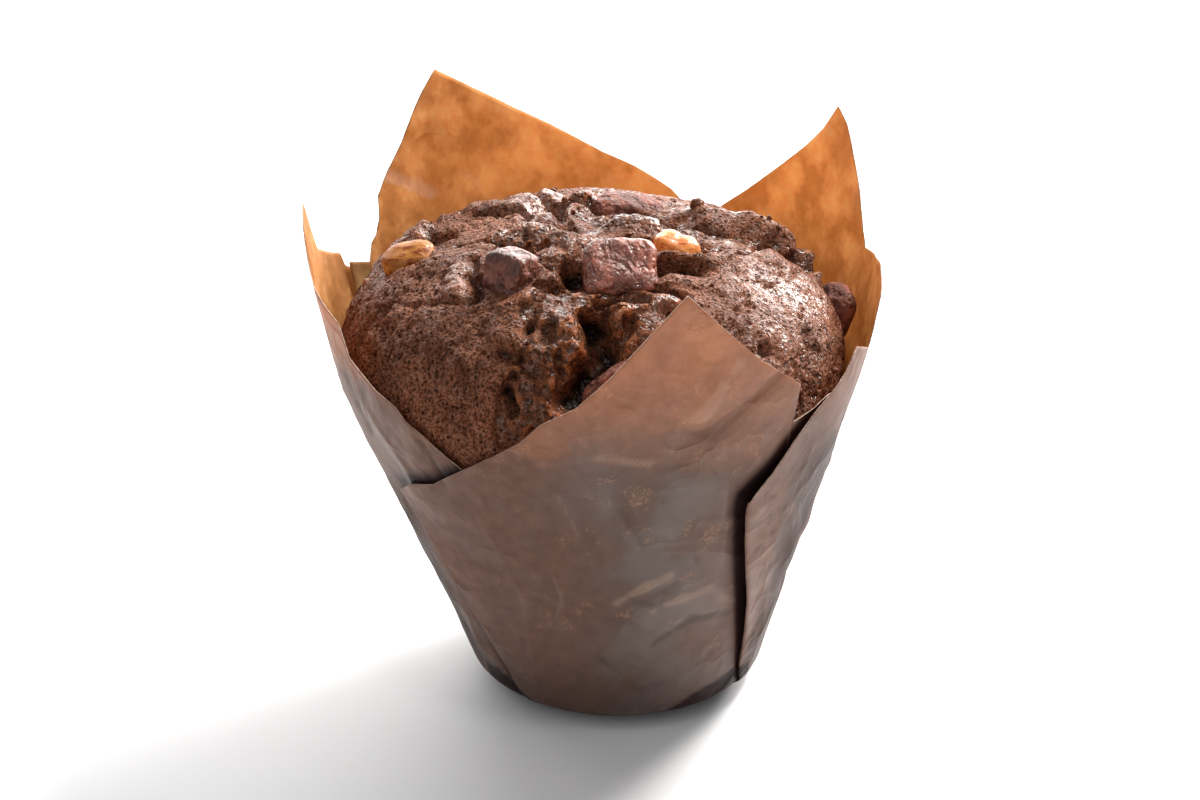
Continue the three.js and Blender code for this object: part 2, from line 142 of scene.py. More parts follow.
# Creases in the paper: (azimuth, height) at both ends, width, and depth, outwards if more
# than nothing.
CREASES = (
    (258, 61.5, 270, 63.8, 1.6, 0.35),
    (270, 63.8, 280, 61.8, 1.6, 0.35),
    (293, 66, 308, 74.5, 1.3, -0.9),
    (288, 67, 293, 66, 2.6, -0.7),
    (286, 83, 296, 76, 3.0, -0.25),
    (290, 70, 297, 79, 2.4, 0.55),
    (272, 31.5, 280, 34.8, 1.2, 0.4),
    (280, 34.8, 286, 36.5, 1.2, 0.4),
    (282, 29, 290, 31, 1.1, 0.4),
    (290, 31, 298, 32, 1.1, 0.35),
    (283, 21, 294, 25.2, 1.2, -0.4),
    (294, 25.2, 309, 24, 1.2, -0.4),
    (265, 18, 279, 9, 1.6, -0.35),
    (240, 48, 246, 30, 1.8, 0.35),
    (246, 30, 241, 12, 1.6, 0.3),
    (261, 55, 264, 47, 1.3, 0.25),
    (274, 52, 279, 44, 1.3, -0.3),
    (298, 55, 301, 38, 2.0, 0.3),
    (325, 45, 347, 28, 1.8, -0.45),
    (333, 58, 349, 44, 2.2, 0.45),
    (338, 33, 362, 31, 2.6, 0.6),
    (338, 23, 360, 21, 2.0, -0.5),
    (340, 46, 360, 47, 2.0, -0.4),
    (318, 30, 330, 14, 1.6, 0.3),
    (206, 70, 203.5, 65, 1.1, -0.5),
    (203.5, 65, 207.5, 56, 1.1, -0.5),
    (226, 62.5, 223, 55, 1.0, 0.5),
    (229.5, 60.5, 233, 53, 0.9, -0.4),
    (217, 55, 221, 47, 1.0, 0.4),
    (196, 60, 205, 34, 1.8, 0.4),
    (141, 82.5, 129, 76.5, 0.9, 0.5),
    (60, 55, 95, 40, 2.0, 0.4),
    (110, 50, 130, 30, 1.8, -0.4),
    (160, 48, 172, 26, 1.8, 0.4),
    (20, 60, 38, 42, 1.8, -0.4),
)

# ---- The cake --------------------------------------------------------------------------

CAKE_FLOOR = 0.8
CAKE_CLEARANCE = 1.1
SUNK_PITCH = 0.75
PLEAT_SWING = 6.0
CROWN_CENTRE_X = -4.8
CROWN_WAIST = 59.5
CROWN_RADIUS = 42.6
CROWN_RISE = 24.2
CROWN_SQUARENESS = 2.57
CRUST_START = 54.0
CRUST_FULL = 62.0
HEART = np.array([CROWN_CENTRE_X, 0.0, 50.0])
LONGEST_RAY = 120.0
HALVINGS = 24
CAKE_CELLS = 312
BALL_RADII = (0.0, 0.9, 0.965, 1.0)
BALL_TILTS = (0.0, 100.0, 153.0, 176.0)
BROAD_ROUNDS = 40
CLOSE_ROUNDS = 6

# How the cake gives way to a block set in it, by the block's own depth: pressed in under it,
# with a narrow moat round it.
SOCKET_EDGE = 1.1
SOCKET_PRESS = 0.7
MOAT_AT = 1.12
MOAT_WIDTH = 0.1
MOAT_DEPTH = 0.5

# The plates of crust: middle, reach, lift, how much smooth skin is left, and the depth of
# the crack round each.
PLATES = (
    ((-31, -23, 75), 22, 1.7, 1.0, 1.6),
    ((-12, -39, 71), 9, -0.2, 0.2, -1.5),
    ((-9, -30, 80), 10, 0.4, 0.15, 0.0),
    ((5, -29, 80), 8, 0.8, 0.4, 1.0),
    ((27, -18, 76), 22, 1.8, 1.1, 1.4),
    ((17, -2, 83), 8, 0.2, 0.5, 0.8),
    ((19, 15, 81), 13, 1.6, 1.0, 1.0),
    ((-8, -4, 85), 13, 0.2, 0.5, 0.6),
    ((-25, 7, 83), 12, 1.3, 0.9, 1.2),
    ((-38, 9, 78), 9, 1.2, 0.9, 1.2),
    ((-30, 27, 73), 15, 1.2, 0.9, 1.2),
    ((-6, 27, 80), 14, 1.2, 0.6, 1.4),
    ((10, 36, 69), 15, 1.0, 1.0, 0.9),
    ((33, 20, 71), 13, 1.1, 0.9, 1.2),
)

# Heaps and ridges on the dome: from, to (both seen from above), width and height.
HEAPS = (
    ((-33.5, 7.5), (-31, 12.5), 3.4, 1.8),
    ((-37.5, 6.5), (-34, 6.5), 1.6, 1.3),
    ((-24, 13.5), (-17, 10.5), 2.6, 1.5),
    ((-19.8, -2), (-16, 0), 2.2, 1.7),
    ((-16, 0), (-13, -1.4), 2.4, 2.0),
    ((-15.5, 13.5), (-12.5, 15), 3.2, 1.9),
    ((-15.5, 7.5), (-12, 6.5), 2.6, 1.4),
    ((-9, 4), (-7.5, 11), 1.8, 1.3),
    ((-7.5, 11), (-4.5, 15), 2.2, 1.9),
    ((-9.8, -5), (-7.2, -7), 3.0, 2.1),
    ((-11, -9), (-10, -10), 2.2, 1.1),
    ((-2, 4), (1, 3.2), 2.2, 1.5),
    ((1, 3.2), (6, 1.6), 2.2, 1.9),
    ((-18.5, -25.2), (-12.6, -21.6), 1.4, 1.5),
    ((-18.5, -27.5), (-14.7, -26.5), 2.3, 1.0),
    ((-11.8, -27.4), (-9, -28.6), 2.3, 1.1),
    ((-19, -29.9), (-15.4, -32), 1.9, 1.2),
    ((-15.4, -32), (-11.5, -34.4), 2.1, 1.7),
    ((-11.3, -34.6), (-11, -36.5), 1.8, 1.6),
    ((-7.6, -31), (-6.7, -33.5), 3.4, 2.0),
    ((-17, -35.4), (-14.6, -37.8), 1.1, 1.0),
    ((-14.6, -37.8), (-11.8, -41), 1.2, 1.2),
    ((-16, -38.6), (-13.3, -40.3), 1.1, 0.9),
    ((-10.4, -37.6), (-7.8, -40.7), 1.7, 1.5),
    ((-1.6, -31), (-0.4, -27.2), 2.2, 1.8),
    ((-0.4, -27.2), (3.2, -24.6), 2.4, 2.3),
    ((3.2, -24.6), (9.5, -23.2), 2.2, 2.0),
    ((4, -29), (5, -31), 3.0, 1.5),
    ((-26, -13), (-26, -18), 2.4, 1.0),
    ((-30, -8.5), (-28, -9), 3.0, 0.9),
    ((-24, -10), (-23, -11), 2.4, 1.1),
    ((13, 8.5), (21, 9.3), 2.2, 1.7),
    ((21, 9.3), (31, 7.8), 2.6, 2.8),
    ((31, 7.5), (32.5, 5), 2.0, 2.2),
    ((18, -2), (20, -2), 2.8, 0.9),
    ((14, -3.4), (16, -4), 1.8, 1.3),
    ((24, -3), (26, -4), 2.4, 0.7),
    ((7.5, -11.8), (12.5, -11.6), 1.5, 1.5),
    ((12.5, -11.6), (17, -8.5), 2.0, 1.2),
    ((8, -18.5), (10, -19), 1.8, 1.2),
)

# Fissures, grooves and holes in the dome: from, to (both seen from above), width and depth.
GASHES = (
    ((-4.4, -28.5), (-3.3, -32.5), 2.6, 7.5),
    ((-3.3, -32.5), (-2.6, -35), 2.4, 7.5),
    ((-2.6, -35), (-5, -37), 2.7, 7.5),
    ((-5, -37), (-8.3, -40), 2.3, 7.0),
    ((-10, -35), (-9.6, -38.3), 0.8, 2.6),
    ((-18.6, -37.4), (-17.3, -39.2), 1.1, 2.4),
    ((-19, -33.3), (-16.5, -34.1), 1.0, 1.9),
    ((-17.7, -36), (-17.4, -36.3), 0.8, 1.4),
    ((-13.9, -41.3), (-13.4, -41.6), 1.5, 2.6),
    ((-11.4, -30.2), (-11.7, -32.6), 1.2, 1.2),
    ((-15.6, -29.3), (-15, -30), 1.1, 0.9),
    ((-23.2, -11), (-23.6, -16), 0.9, 1.6),
    ((-23.6, -16), (-23.4, -21), 1.5, 3.8),
    ((-8.2, -14), (-8.2, -19), 2.3, 4.8),
    ((-14, -20.4), (-10.8, -21), 1.0, 2.2),
    ((-3.5, -24.4), (3.5, -24.2), 1.4, 3.2),
    ((1.4, -28.8), (0.9, -32.2), 0.8, 1.8),
    ((-33, -18), (-23.5, -22.5), 0.8, 0.5),
    ((-38.3, -14.5), (-38, -15.3), 1.0, 0.8),
    ((-38.5, -18), (-38, -20), 1.7, 0.8),
    ((-40, -21), (-40, -23), 1.0, 0.9),
    ((-29.2, -28.3), (-28.6, -30), 1.1, 0.9),
    ((-25.3, -32.6), (-24.7, -34.2), 0.9, 1.1),
    ((-27.6, -34.6), (-27.6, -35.4), 0.8, 0.8),
    ((-24.3, 10.2), (-16.5, 6.8), 1.1, 2.3),
    ((-32.5, 3.8), (-29.6, 2.5), 1.9, 2.3),
    ((-20, -5.2), (-13, -6.8), 1.1, 2.3),
    ((-11.5, 12), (-9.8, 5), 1.1, 1.8),
    ((-9.8, 5), (-8, 0), 1.1, 1.3),
    ((1.5, -2.8), (5.6, -3.4), 1.2, 1.8),
    ((20, 4.6), (26, 5.6), 1.5, 2.0),
    ((26, 5.2), (31, 3.2), 2.3, 3.4),
    ((11, 7), (12, 6.5), 1.5, 2.4),
    ((14, -7.6), (15.2, -8), 1.3, 2.2),
    ((7, -15), (12, -14.2), 2.0, 3.2),
    ((24, -12.6), (25.2, -14), 0.5, 0.9),
    ((25.2, -14), (26, -17.6), 0.5, 0.8),
    ((22.6, -26.4), (22.9, -27), 0.8, 2.2),
    ((31, -24), (31, -28), 0.8, 2.2),
)

# Where the crust is glazed, and paler there as a painted highlight: from, to (both seen from
# above), width and how much.
GLAZES_AND_HIGHLIGHTS = (
    ((24, -13), (33, -9), 6.5, 1.0),
    ((25, -24), (33, -21), 5.0, 0.8),
    ((14, -2), (22, -3), 2.6, 0.5),
    ((13, 13), (23, 12), 4.0, 1.0),
    ((-15.5, 8), (-12, 15), 3.4, 0.9),
    ((3.5, 0.6), (6, 1.9), 2.2, 0.8),
    ((-26, -13), (-26, -18), 2.6, 0.6),
    ((3, -24.5), (9, -23), 1.6, 0.3),
)

# ---- Chunks and nuts -------------------------------------------------------------------

# Name, middle, size, turn about X, Y and Z, and squareness.
CHUNKS = (
    ("chunk_centre", (0, -16, 83), (12, 10, 8), (44, 0, 4), 6.0),
    ("chunk_left", (-18.3, -18.3, 82.2), (7.2, 6.6, 10.5), (-10, 2, -33), 8.0),
    ("chunk_top", (1.5, 13, 82.4), (12.5, 9, 5.5), (0, 6, 8), 3.0),
    ("chunk_right", (37.5, 4.5, 67), (6, 8.5, 10), (0, 18, 10), 3.0),
    ("chunk_front", (-1.5, -38.5, 72), (10.5, 5.5, 5.5), (0, -38, 0), 3.0),
)
NUTS = (
    ("nut_golden", (9.5, -8, 84), (8, 6, 5.5), (10, 12, -14), 2.5),
    ("nut_amber", (-36, -1.5, 79.5), (9.5, 6.5, 5), (20, -14, 6), 2.5),
)
RIPPLE = 0.025
CHUNK_CELLS = 36
CHUNK_DENTS = 0.26
NUT_CELLS = 30
NUT_DENTS = 0.08
CRUMB_CELLS = 2
CRUMB_SQUARENESS = 3.0
CRUMB_SEED = 5

# Chocolate as (material, gloss, lightness): what most chunks are, and the ones that differ.
# Then each nut's groove and lightness.
DULL_LOOK = ("Dull chocolate", 0.1, 1.0)
CHUNK_LOOKS = {
    # Lighter than the rest as painted light, standing for the highlights on its front face.
    "chunk_centre": ("Chocolate lightened as painted light", 1.0, 1.65),
    "chunk_left": ("Glossy chocolate", 0.8, 0.85),
}
NUT_LOOKS = {"nut_golden": (0.35, 0.95), "nut_amber": (0.1, 0.45)}

# ---- The stage, in metres --------------------------------------------------------------

FLOOR_REACH = 3.0
FLOOR_GREY = (0.78, 0.78, 0.78)
CAMERA_AIM = Vector((-0.00333, 0, 0.0522))
CAMERA_DISTANCE = 0.5
CAMERA_ELEVATION = 25
CAMERA_LENS = 85.44
SENSOR_WIDTH = 36

# Lamps: name, place, size, power and colour. All of them shine at LAMP_TARGET.
LAMPS = (
    ("key", (0.34, 0.30, 0.64), 0.20, 9.0, (1.0, 0.98, 0.95)),
    ("backdrop", (0.05, 0.75, 0.30), 0.90, 17.0, (1.0, 0.99, 0.98)),
    ("glint", (0.50, 0.55, 0.34), 0.20, 6.0, (1.0, 0.99, 0.98)),
    ("overhead", (0.0, -0.24, 0.60), 0.06, 0.35, (1.0, 0.99, 0.98)),
    ("rim_left", (-0.42, 0.40, 0.32), 0.24, 0.7, (1.0, 1.0, 1.0)),
    ("fill_front", (-0.20, -0.60, 0.45), 0.60, 1.2, (0.97, 0.98, 1.0)),
)
LAMP_TARGET = Vector((0, 0, 0.06))
SURROUND = (0.96, 0.98, 1.0, 1)
SURROUND_STRENGTH = 0.24

# ---- Colours of the materials, besides those that a user sets --------------------------

# Dark in the pits of the crust's grain as painted shade, pale on its tops as painted light.
PIT_SHADE_SPECKLES = ((0.46, 0.36, 0.30, 1), (1.46, 1.52, 1.55, 1))
NUT_CREAM = (0.92, 0.36, 0.070)
NUT_SKIN = (0.50, 0.095, 0.010)
# Damp paper: darker where moist cake lies behind it, and greyer as a painted sheen.
DAMP_AND_SHEEN_PAPER = ((0.108, 0.066, 0.050, 1), (0.150, 0.112, 0.098, 1))
DARK_PATCH_PAPER = (0.045, 0.022, 0.018, 1)
STRIP_TAN = (0.26, 0.135, 0.094, 1)
SPECK_TAN = (0.36, 0.19, 0.115, 1)
# A painted highlight along ridges of the paper, and painted shade in its creases.
CREASE_HIGHLIGHT = (0.34, 0.22, 0.165, 1)
CREASE_SHADE = (0.050, 0.030, 0.024, 1)
# Painted shade: darker towards the foot, and near black beside the folds and in the folded
# corners at the foot.
FOOT_PAINTED_SHADE = (0.045, 0.024, 0.019, 1)
FOLD_PAINTED_SHADE = (0.020, 0.009, 0.009, 1)
# A painted highlight along ridges of the inner face.
CREASE_INSIDE_HIGHLIGHT = (0.80, 0.62, 0.46, 1)
STAINS = ((1.15, 1.18, 1.25, 1), (0.80, 0.70, 0.60, 1))
THROUGH_OUTSIDE = (0.52, 0.25, 0.105, 1)
THROUGH_INSIDE = ((0.88, 0.54, 0.25, 1), (0.97, 0.68, 0.34, 1))
CUT_EDGE = (0.52, 0.38, 0.29, 1)

# ---- What a user would change ----------------------------------------------------------


class MuffinSizes(bpy.types.PropertyGroup):
    paper_thickness: FloatProperty(
        name="Paper thickness", description="Thickness of the baking paper",
        default=0.00018, min=0.00005, max=0.0004, subtype="DISTANCE", unit="LENGTH",
    )
    wrinkle_depth: FloatProperty(
        name="Wrinkle depth", description="How deep the soft buckles of the paper are",
        default=0.00035, min=0.0, max=0.001, subtype="DISTANCE", unit="LENGTH",
    )
    lump_height: FloatProperty(
        name="Lump height", description="Height of the lumps of torn crumb in the cracks",
        default=0.0011, min=0.0, max=0.003, subtype="DISTANCE", unit="LENGTH",
    )
    overhang: FloatProperty(
        name="Overhang", description="How far the lips of the plates reach over the cracks",
        default=0.0009, min=0.0, max=0.002, subtype="DISTANCE", unit="LENGTH",
    )
    crumb_size: FloatProperty(
        name="Crumb size", description="Mean width of a loose crumb",
        default=0.0008, min=0.0003, max=0.002, subtype="DISTANCE", unit="LENGTH",
    )
    crumb_count: IntProperty(
        name="Loose crumbs", description="How many loose crumbs lie on the dome",
        default=70, min=0, max=3000,
    )


class MuffinColours(bpy.types.PropertyGroup):
    crust: FloatVectorProperty(
        name="Crust", description="Baked skin of the dome",
        default=(0.196, 0.072, 0.037), min=0.0, max=1.0, size=3, subtype="COLOR",
    )
    crumb: FloatVectorProperty(
        name="Crumb", description="Torn, moist crumb",
        default=(0.105, 0.037, 0.018), min=0.0, max=1.0, size=3, subtype="COLOR",
    )
    rim: FloatVectorProperty(
        name="Torn rim", description="Thin torn edges of the plates",
        default=(0.27, 0.088, 0.031), min=0.0, max=1.0, size=3, subtype="COLOR",
    )
    chocolate: FloatVectorProperty(
        name="Chocolate", description="Chocolate chunks",
        default=(0.158, 0.050, 0.031), min=0.0, max=1.0, size=3, subtype="COLOR",
    )
    nut: FloatVectorProperty(
        name="Nut", description="Baked nut pieces",
        default=(0.70, 0.22, 0.035), min=0.0, max=1.0, size=3, subtype="COLOR",
    )
    paper_outside: FloatVectorProperty(
        name="Paper outside", description="Outer face of the baking paper",
        default=(0.200, 0.106, 0.076), min=0.0, max=1.0, size=3, subtype="COLOR",
    )
    paper_inside: FloatVectorProperty(
        name="Paper inside", description="Inner face of the baking paper",
        default=(0.64, 0.34, 0.130), min=0.0, max=1.0, size=3, subtype="COLOR",
    )


# ---- Small helpers ---------------------------------------------------------------------


def smoothstep(value, low, high):
    """0 below low, 1 above high, and 3t^2 - 2t^3 between them."""
    share = np.clip((value - low) / (high - low), 0, 1)
    return share * share * (3 - 2 * share)


def lengths(vectors):
    return np.linalg.norm(vectors, axis=-1)


def hashed(cells, seed):
    """A scrambled whole number for each lattice cell, by multiplying with large odd numbers,
    adding and shifting."""
    x, y, z = (cells[..., i].astype(np.uint32) for i in range(3))
    mixed = x * np.uint32(374761393) + y * np.uint32(668265263) + z * np.uint32(2246822519)
    mixed = mixed + np.uint32((seed * 3266489917) % 2**32)
    mixed = (mixed ^ (mixed >> np.uint32(13))) * np.uint32(1274126177)
    return mixed ^ (mixed >> np.uint32(16))


def unit_parts(numbers):
    """Three numbers from 0 to 1 out of the three lowest tens of bits of each number."""
    parts = [(numbers >> np.uint32(10 * i)) & np.uint32(1023) for i in range(3)]
    return np.stack(parts, axis=-1) / 1023.0


def lattice(points, size):
    """The cube of a lattice that each point lies in, and its place in that cube."""
    place = points / size
    cell = np.floor(place).astype(np.int64)
    return cell, place - cell


def noise(points, size, seed):
    """Smooth noise, made 1.7 times larger to run from about -1 to 1. Each corner of a lattice
    of cubes has a random slope, and inside a cube the eight slopes' heights are blended by
    6t^5 - 15t^4 + 10t^3."""
    cell, local = lattice(points, size)
    fade = local**3 * (local * (local * 6 - 15) + 10)
    total = np.zeros(local.shape[:-1])
    for corner in np.ndindex(2, 2, 2):
        offset = np.array(corner)
        slope = unit_parts(hashed(cell + offset, seed)) * 2 - 1
        weight = np.prod(np.where(offset, fade, 1 - fade), axis=-1)
        total += weight * np.sum(slope * (local - offset), axis=-1)
    return total * 1.7


def vector_noise(points, size, seed):
    return np.stack([noise(points, size, seed + 17 * i) for i in range(3)], axis=-1)


def pebbles(points, size, seed):
    """Distance to the nearest of points scattered one to a cube, in cube widths, and that
    nearest point's own random number from 0 to 1."""
    cell, local = lattice(points, size)
    nearest = np.full(local.shape[:-1], np.inf)
    chance = np.zeros(local.shape[:-1])
    for corner in np.ndindex(3, 3, 3):
        offset = np.array(corner) - 1
        number = hashed(cell + offset, seed)
        away = lengths(offset + unit_parts(number) - local)
        closer = away < nearest
        nearest = np.where(closer, away, nearest)
        chance = np.where(closer, (number >> np.uint32(22)) / 1023.0, chance)
    return nearest, np.clip(chance, 0, 1)


def from_segment(points, start, end):
    """Distance of each point to the stretch between two points."""
    start, end = np.array(start, float), np.array(end, float)
    line = end - start
    share = np.clip((points - start) @ line / (line @ line), 0, 1)
    return lengths(points - start - share[..., None] * line)


def grid_quads(rows, columns, closed=False):
    """Corner numbers of a grid's quads, its points stored row by row. Closed joins the last
    column to the first."""
    index = np.arange(rows * columns).reshape(rows, columns)
    if closed:
        index = np.concatenate([index, index[:, :1]], axis=1)
    corners = (index[:-1, :-1], index[:-1, 1:], index[1:, 1:], index[1:, :-1])
    return np.stack(corners, axis=-1).reshape(-1, 4)


def make_piece(name, points, quads, materials, caps=(), values=None):
    """Turns points in millimetres into a smooth-shaded piece that rides on the root. caps
    are faces with more corners, and values are numbers that the materials read."""
    mesh = bpy.data.meshes.new(name)
    faces = quads.tolist() + [cap.tolist() for cap in caps]
    mesh.from_pydata((points * MM).tolist(), [], faces)
    mesh.polygons.foreach_set("use_smooth", np.ones(len(faces), dtype=bool))
    for label, numbers in (values or {}).items():
        layer = mesh.attributes.new(label, "FLOAT", "POINT")
        layer.data.foreach_set("value", numbers.astype(np.float32).ravel())
    for material in materials:
        mesh.materials.append(material)
    mesh.update()
    piece = bpy.data.objects.new(name, mesh)
    bpy.context.scene.collection.objects.link(piece)
    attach(piece, "root")
    return piece


# ---- Shapes: the cup and the paper -----------------------------------------------------


def cup_radius(z):
    """A cone, bent upright between BEND_START and BEND_END by the integral of a slope that
    falls evenly, and drawn in over the foot by a square."""
    bend = BEND_END - BEND_START
    bent = np.clip(z - BEND_START, 0, bend)
    above = np.maximum(z - BEND_END, 0)
    straighter = (WALL_SLOPE - PETAL_SLOPE) * (bent**2 / (2 * bend) + above)
    foot = np.maximum(1 - z / FOOT_ROUND_HEIGHT, 0)
    return BASE_RADIUS + WALL_SLOPE * z - straighter - FOOT_ROUND_WIDTH * foot**2


def axis_x(z):
    return LEAN_SLOPE * np.minimum(z, LEAN_TOP)


def turned_from(middle, azimuth):
    """The degrees from one azimuth to others, from -180 to 180."""
    return np.mod(azimuth - middle + 180, 360) - 180


def following_petal(index):
    """The petal after this one, and the whole turn that its azimuths lack past the last."""
    return PETALS[(index + 1) % len(PETALS)], 360 if index + 1 == len(PETALS) else 0


def pleat(index, z):
    """The azimuths of a pleat's tucked fold and outer fold at each height. Each swings from
    its foot to its top, and near the floor the two close up and come into order."""
    petal = PETALS[index]
    following, turn = following_petal(index)
    below = np.clip(PLEAT_TOP - z, 0, None) / PLEAT_TOP
    tuck_top, fold_top = petal["edge"][-1][0], following["edge"][0][0]
    tuck = tuck_top + (petal["tuck_foot"] - tuck_top) * below
    fold = fold_top + (following["fold_foot"] - fold_top) * below ** following["bend"] + turn
    middle = (tuck + fold) / 2
    crossing = FLOOR_CROSSING * (1 - smoothstep(z, 1, 6))
    half = (tuck - fold) / 2 * smoothstep(z, 1, 8) - crossing
    return middle + half, middle - half


def wrinkles(azimuth, z, depth):
    """Soft buckles from noise on the cup, thin ridges where a second noise is near nothing,
    and the creases, each a sharp fold that fades with the distance to its stretch. The sum
    is eased towards a limit by tanh."""
    angle = np.radians(azimuth)
    radius = cup_radius(z)
    place = np.stack([radius * np.cos(angle), radius * np.sin(angle), z], axis=-1)
    free = smoothstep(z, 55, 80)
    buckle = noise(place, 24, 41) * (0.6 + free) + 0.55 * noise(place, 11, 42)
    bent = place + 2.0 * vector_noise(place, 9, 43)
    ridge = (1 - np.abs(noise(bent, 13, 44))) ** 7 * noise(place, 17, 45)
    fine = (1 - np.abs(noise(bent, 5, 46))) ** 5 * noise(place, 8, 47)
    out = depth * (buckle + 1.3 * ridge + 0.45 * fine)
    for start, low, end, high, width, sink in CREASES:
        wall = np.interp((low + high) / 2, *WALL_RADII)
        across = np.radians(turned_from((start + end) / 2, azimuth)) * wall
        flat = np.stack([across, z], axis=-1)
        half = np.radians((end - start) / 2) * wall
        away = from_segment(flat, (-half, low), (half, high))
        out += sink * np.exp(-away / width)
    return CRUMPLE_LIMIT * np.tanh(out / CRUMPLE_LIMIT) - CRUMPLE_INSET


def stand_off(petal, past_fold, z):
    """How far a petal's outer fold stands off the cup, fading with the degrees past it."""
    fading = np.exp(-np.maximum(past_fold, 0) / STAND_REACH)
    return petal["stand"] * fading * smoothstep(z, 6, 30)


def petal_columns(petal):
    """Azimuths along a petal's edge and the edge's height there: even steps with the corners
    of the edge put in their exact places."""
    spacing = petal["spacing"]
    corners = np.array(petal["edge"], float)
    even = np.arange(corners[0, 0], corners[-1, 0], spacing)
    apart = np.abs(even[:, None] - corners[None, :, 0]).min(axis=1)
    azimuth = np.sort(np.concatenate([even[apart > spacing / 3], corners[:, 0]]))
    return azimuth, np.interp(azimuth, corners[:, 0], corners[:, 1])


def row_heights(tops):
    """The height of every point of columns with these tops, the low rows alike in all."""
    low_share = np.linspace(0, 1, LOW_ROWS)[:, None] ** 1.15
    high_share = np.linspace(0, 1, HIGH_ROWS)[1:, None]
    low = SHEET_FOOT + (SHEET_SPLIT - SHEET_FOOT) * low_share
    low = np.broadcast_to(low, (LOW_ROWS, len(tops)))
    return np.concatenate([low, SHEET_SPLIT + (tops - SHEET_SPLIT) * high_share])


def petal_block(index):
    """One petal, for each row and column: azimuth, height, how far it lies off the cup, how
    much it is shaded beside a fold, and how much it belongs to the pale doubled strip along
    its own fold."""
    petal = PETALS[index]
    following, later = following_petal(index)
    previous = (index - 1) % len(PETALS)
    turn = 360 if index == 0 else 0
    azimuth, top = petal_columns(petal)
    z = row_heights(top)
    tuck_before, fold_before = (side - turn for side in pleat(previous, z))
    tuck_after, fold_after = pleat(index, z)
    reach = np.degrees(FOLD_REACH / cup_radius(z))
    share = (azimuth - azimuth[0]) / (azimuth[-1] - azimuth[0])
    here = fold_before + reach + share * (tuck_after - fold_before - 2 * reach)
    spread = smoothstep(z, 1, 6)
    raised = 1 - smoothstep(here, tuck_before, tuck_before + PLEAT_RAMP)
    sunk = smoothstep(here, fold_after - PLEAT_RAMP, fold_after)
    lean = petal["flare"] * np.sin(np.pi * share) * smoothstep(z, BEND_START, FLARE_TOP)
    off = stand_off(petal, here - fold_before, z)
    # Painted shade beside the fold of the next petal, where this one goes under it, running a few
    # millimetres up past that petal's edge as a soft painted shadow.
    cover_at, cover = np.array(following["edge"], float).T
    covered = 1 - smoothstep(z - np.interp(here, cover_at + later, cover), 0.5, 4)
    painted_fold_shade = smoothstep(here, fold_after - petal["shade"], fold_after) * covered
    wide = STRIP_REACH * smoothstep(z, 2, 40) + 0.1
    strip = 1 - smoothstep(here - fold_before, 0.7 * wide, wide)
    return here, z, spread * (raised - sunk) * LAYER_PITCH + lean + off, painted_fold_shade, strip


def pleat_block(index):
    """The pleat after a petal, in the same form: from the tucked fold under the petal back
    to the outer fold of the next one, each fold half a layer off the panel between them."""
    following, _ = following_petal(index)
    tuck_top, fold_top = PETALS[index]["edge"][-1][1], following["edge"][0][1]
    panel_shares = np.linspace(0, 1, PLEAT_COLUMNS)
    shares = np.concatenate([[0], panel_shares, [1]])
    layer = np.concatenate([[-0.5], np.zeros(PLEAT_COLUMNS), [0.5]])
    tops = tuck_top + (fold_top - tuck_top) * shares
    tops[1:-1] -= PLEAT_DIP
    z = row_heights(tops)
    tuck, fold = pleat(index, z)
    side = np.sign(fold - tuck)
    inset = np.degrees(FOLD_REACH / cup_radius(z)) * side
    inset[:, [0, -1]] = 0
    here = tuck + inset + shares * (fold - tuck - 2 * inset)
    off = stand_off(following, here - fold, z)
    panel = smoothstep(z, 1, 6) * layer * LAYER_PITCH + off
    # The tucked panel between the folds is painted dark all over as shade, all but its outer
    # fold.
    return here, z, panel, np.where(shares < 0.9, 1.0, 0.0) + 0 * z, 0 * z


def dark_patch_at(azimuth, z):
    """How far the paper is darkened, from 0 to 1: bell curves round the cup, cut off below
    and above."""
    dark_patch = np.zeros_like(z)
    for middle, reach, low, high in DARK_PATCHES:
        beside = np.exp(-(((azimuth - middle) / reach) ** 2))
        level = smoothstep(z, low - 6, low + 6) * (1 - smoothstep(z, high - 6, high + 6))
        dark_patch = np.maximum(dark_patch, beside * level)
    return dark_patch


def paper_sheet(depth):
    """The whole pleated sheet: rows from the middle of the base out to the foot and up to
    the petals' edges, columns round the cup through every fold. Returns its points and the
    values that its materials read."""
    blocks = [
        block(index) for index in range(len(PETALS)) for block in (petal_block, pleat_block)
    ]
    azimuth, z, off, painted_fold_shade, strip = (np.concatenate(part, axis=1) for part in zip(*blocks))
    crumple = wrinkles(azimuth, z, depth) * smoothstep(z, 2, 12)
    radius = cup_radius(z) - SHEET_MIDDLE + off + crumple
    angle = np.radians(azimuth)
    wall = np.stack([axis_x(z) + radius * np.cos(angle), radius * np.sin(angle), z], axis=-1)

    base_share = np.linspace(BASE_HOLE, 1, BASE_ROWS)[:-1, None, None]
    base = wall[:1] * base_share
    base[..., 2] = BASE_UNDERSIDE + BASE_DOMING * (1 - base_share[..., 0]) * base_share[..., 0]
    corner_at, corner = np.array(FOOT_CORNERS, float).T
    top = np.interp(np.mod(azimuth, 360), corner_at, corner)
    # Painted shade: near black beside the folds and in the folded corners at the foot.
    values = {
        "height": z,
        "crease": crumple - softened(crumple, CREASE_ROUNDS),
        "painted_fold_shade": np.maximum(painted_fold_shade, 1 - smoothstep(z, top - 1, top)),
        "strip": strip,
        "front": np.exp(-(((azimuth - DAMP_MIDDLE) / DAMP_REACH) ** 2)) * (1 - strip),
        "dark_patch": dark_patch_at(azimuth, z),
    }
    flat = np.zeros((len(base), azimuth.shape[1]))
    return np.concatenate([base, wall]), {
        label: np.concatenate([flat, numbers]) for label, numbers in values.items()
    }


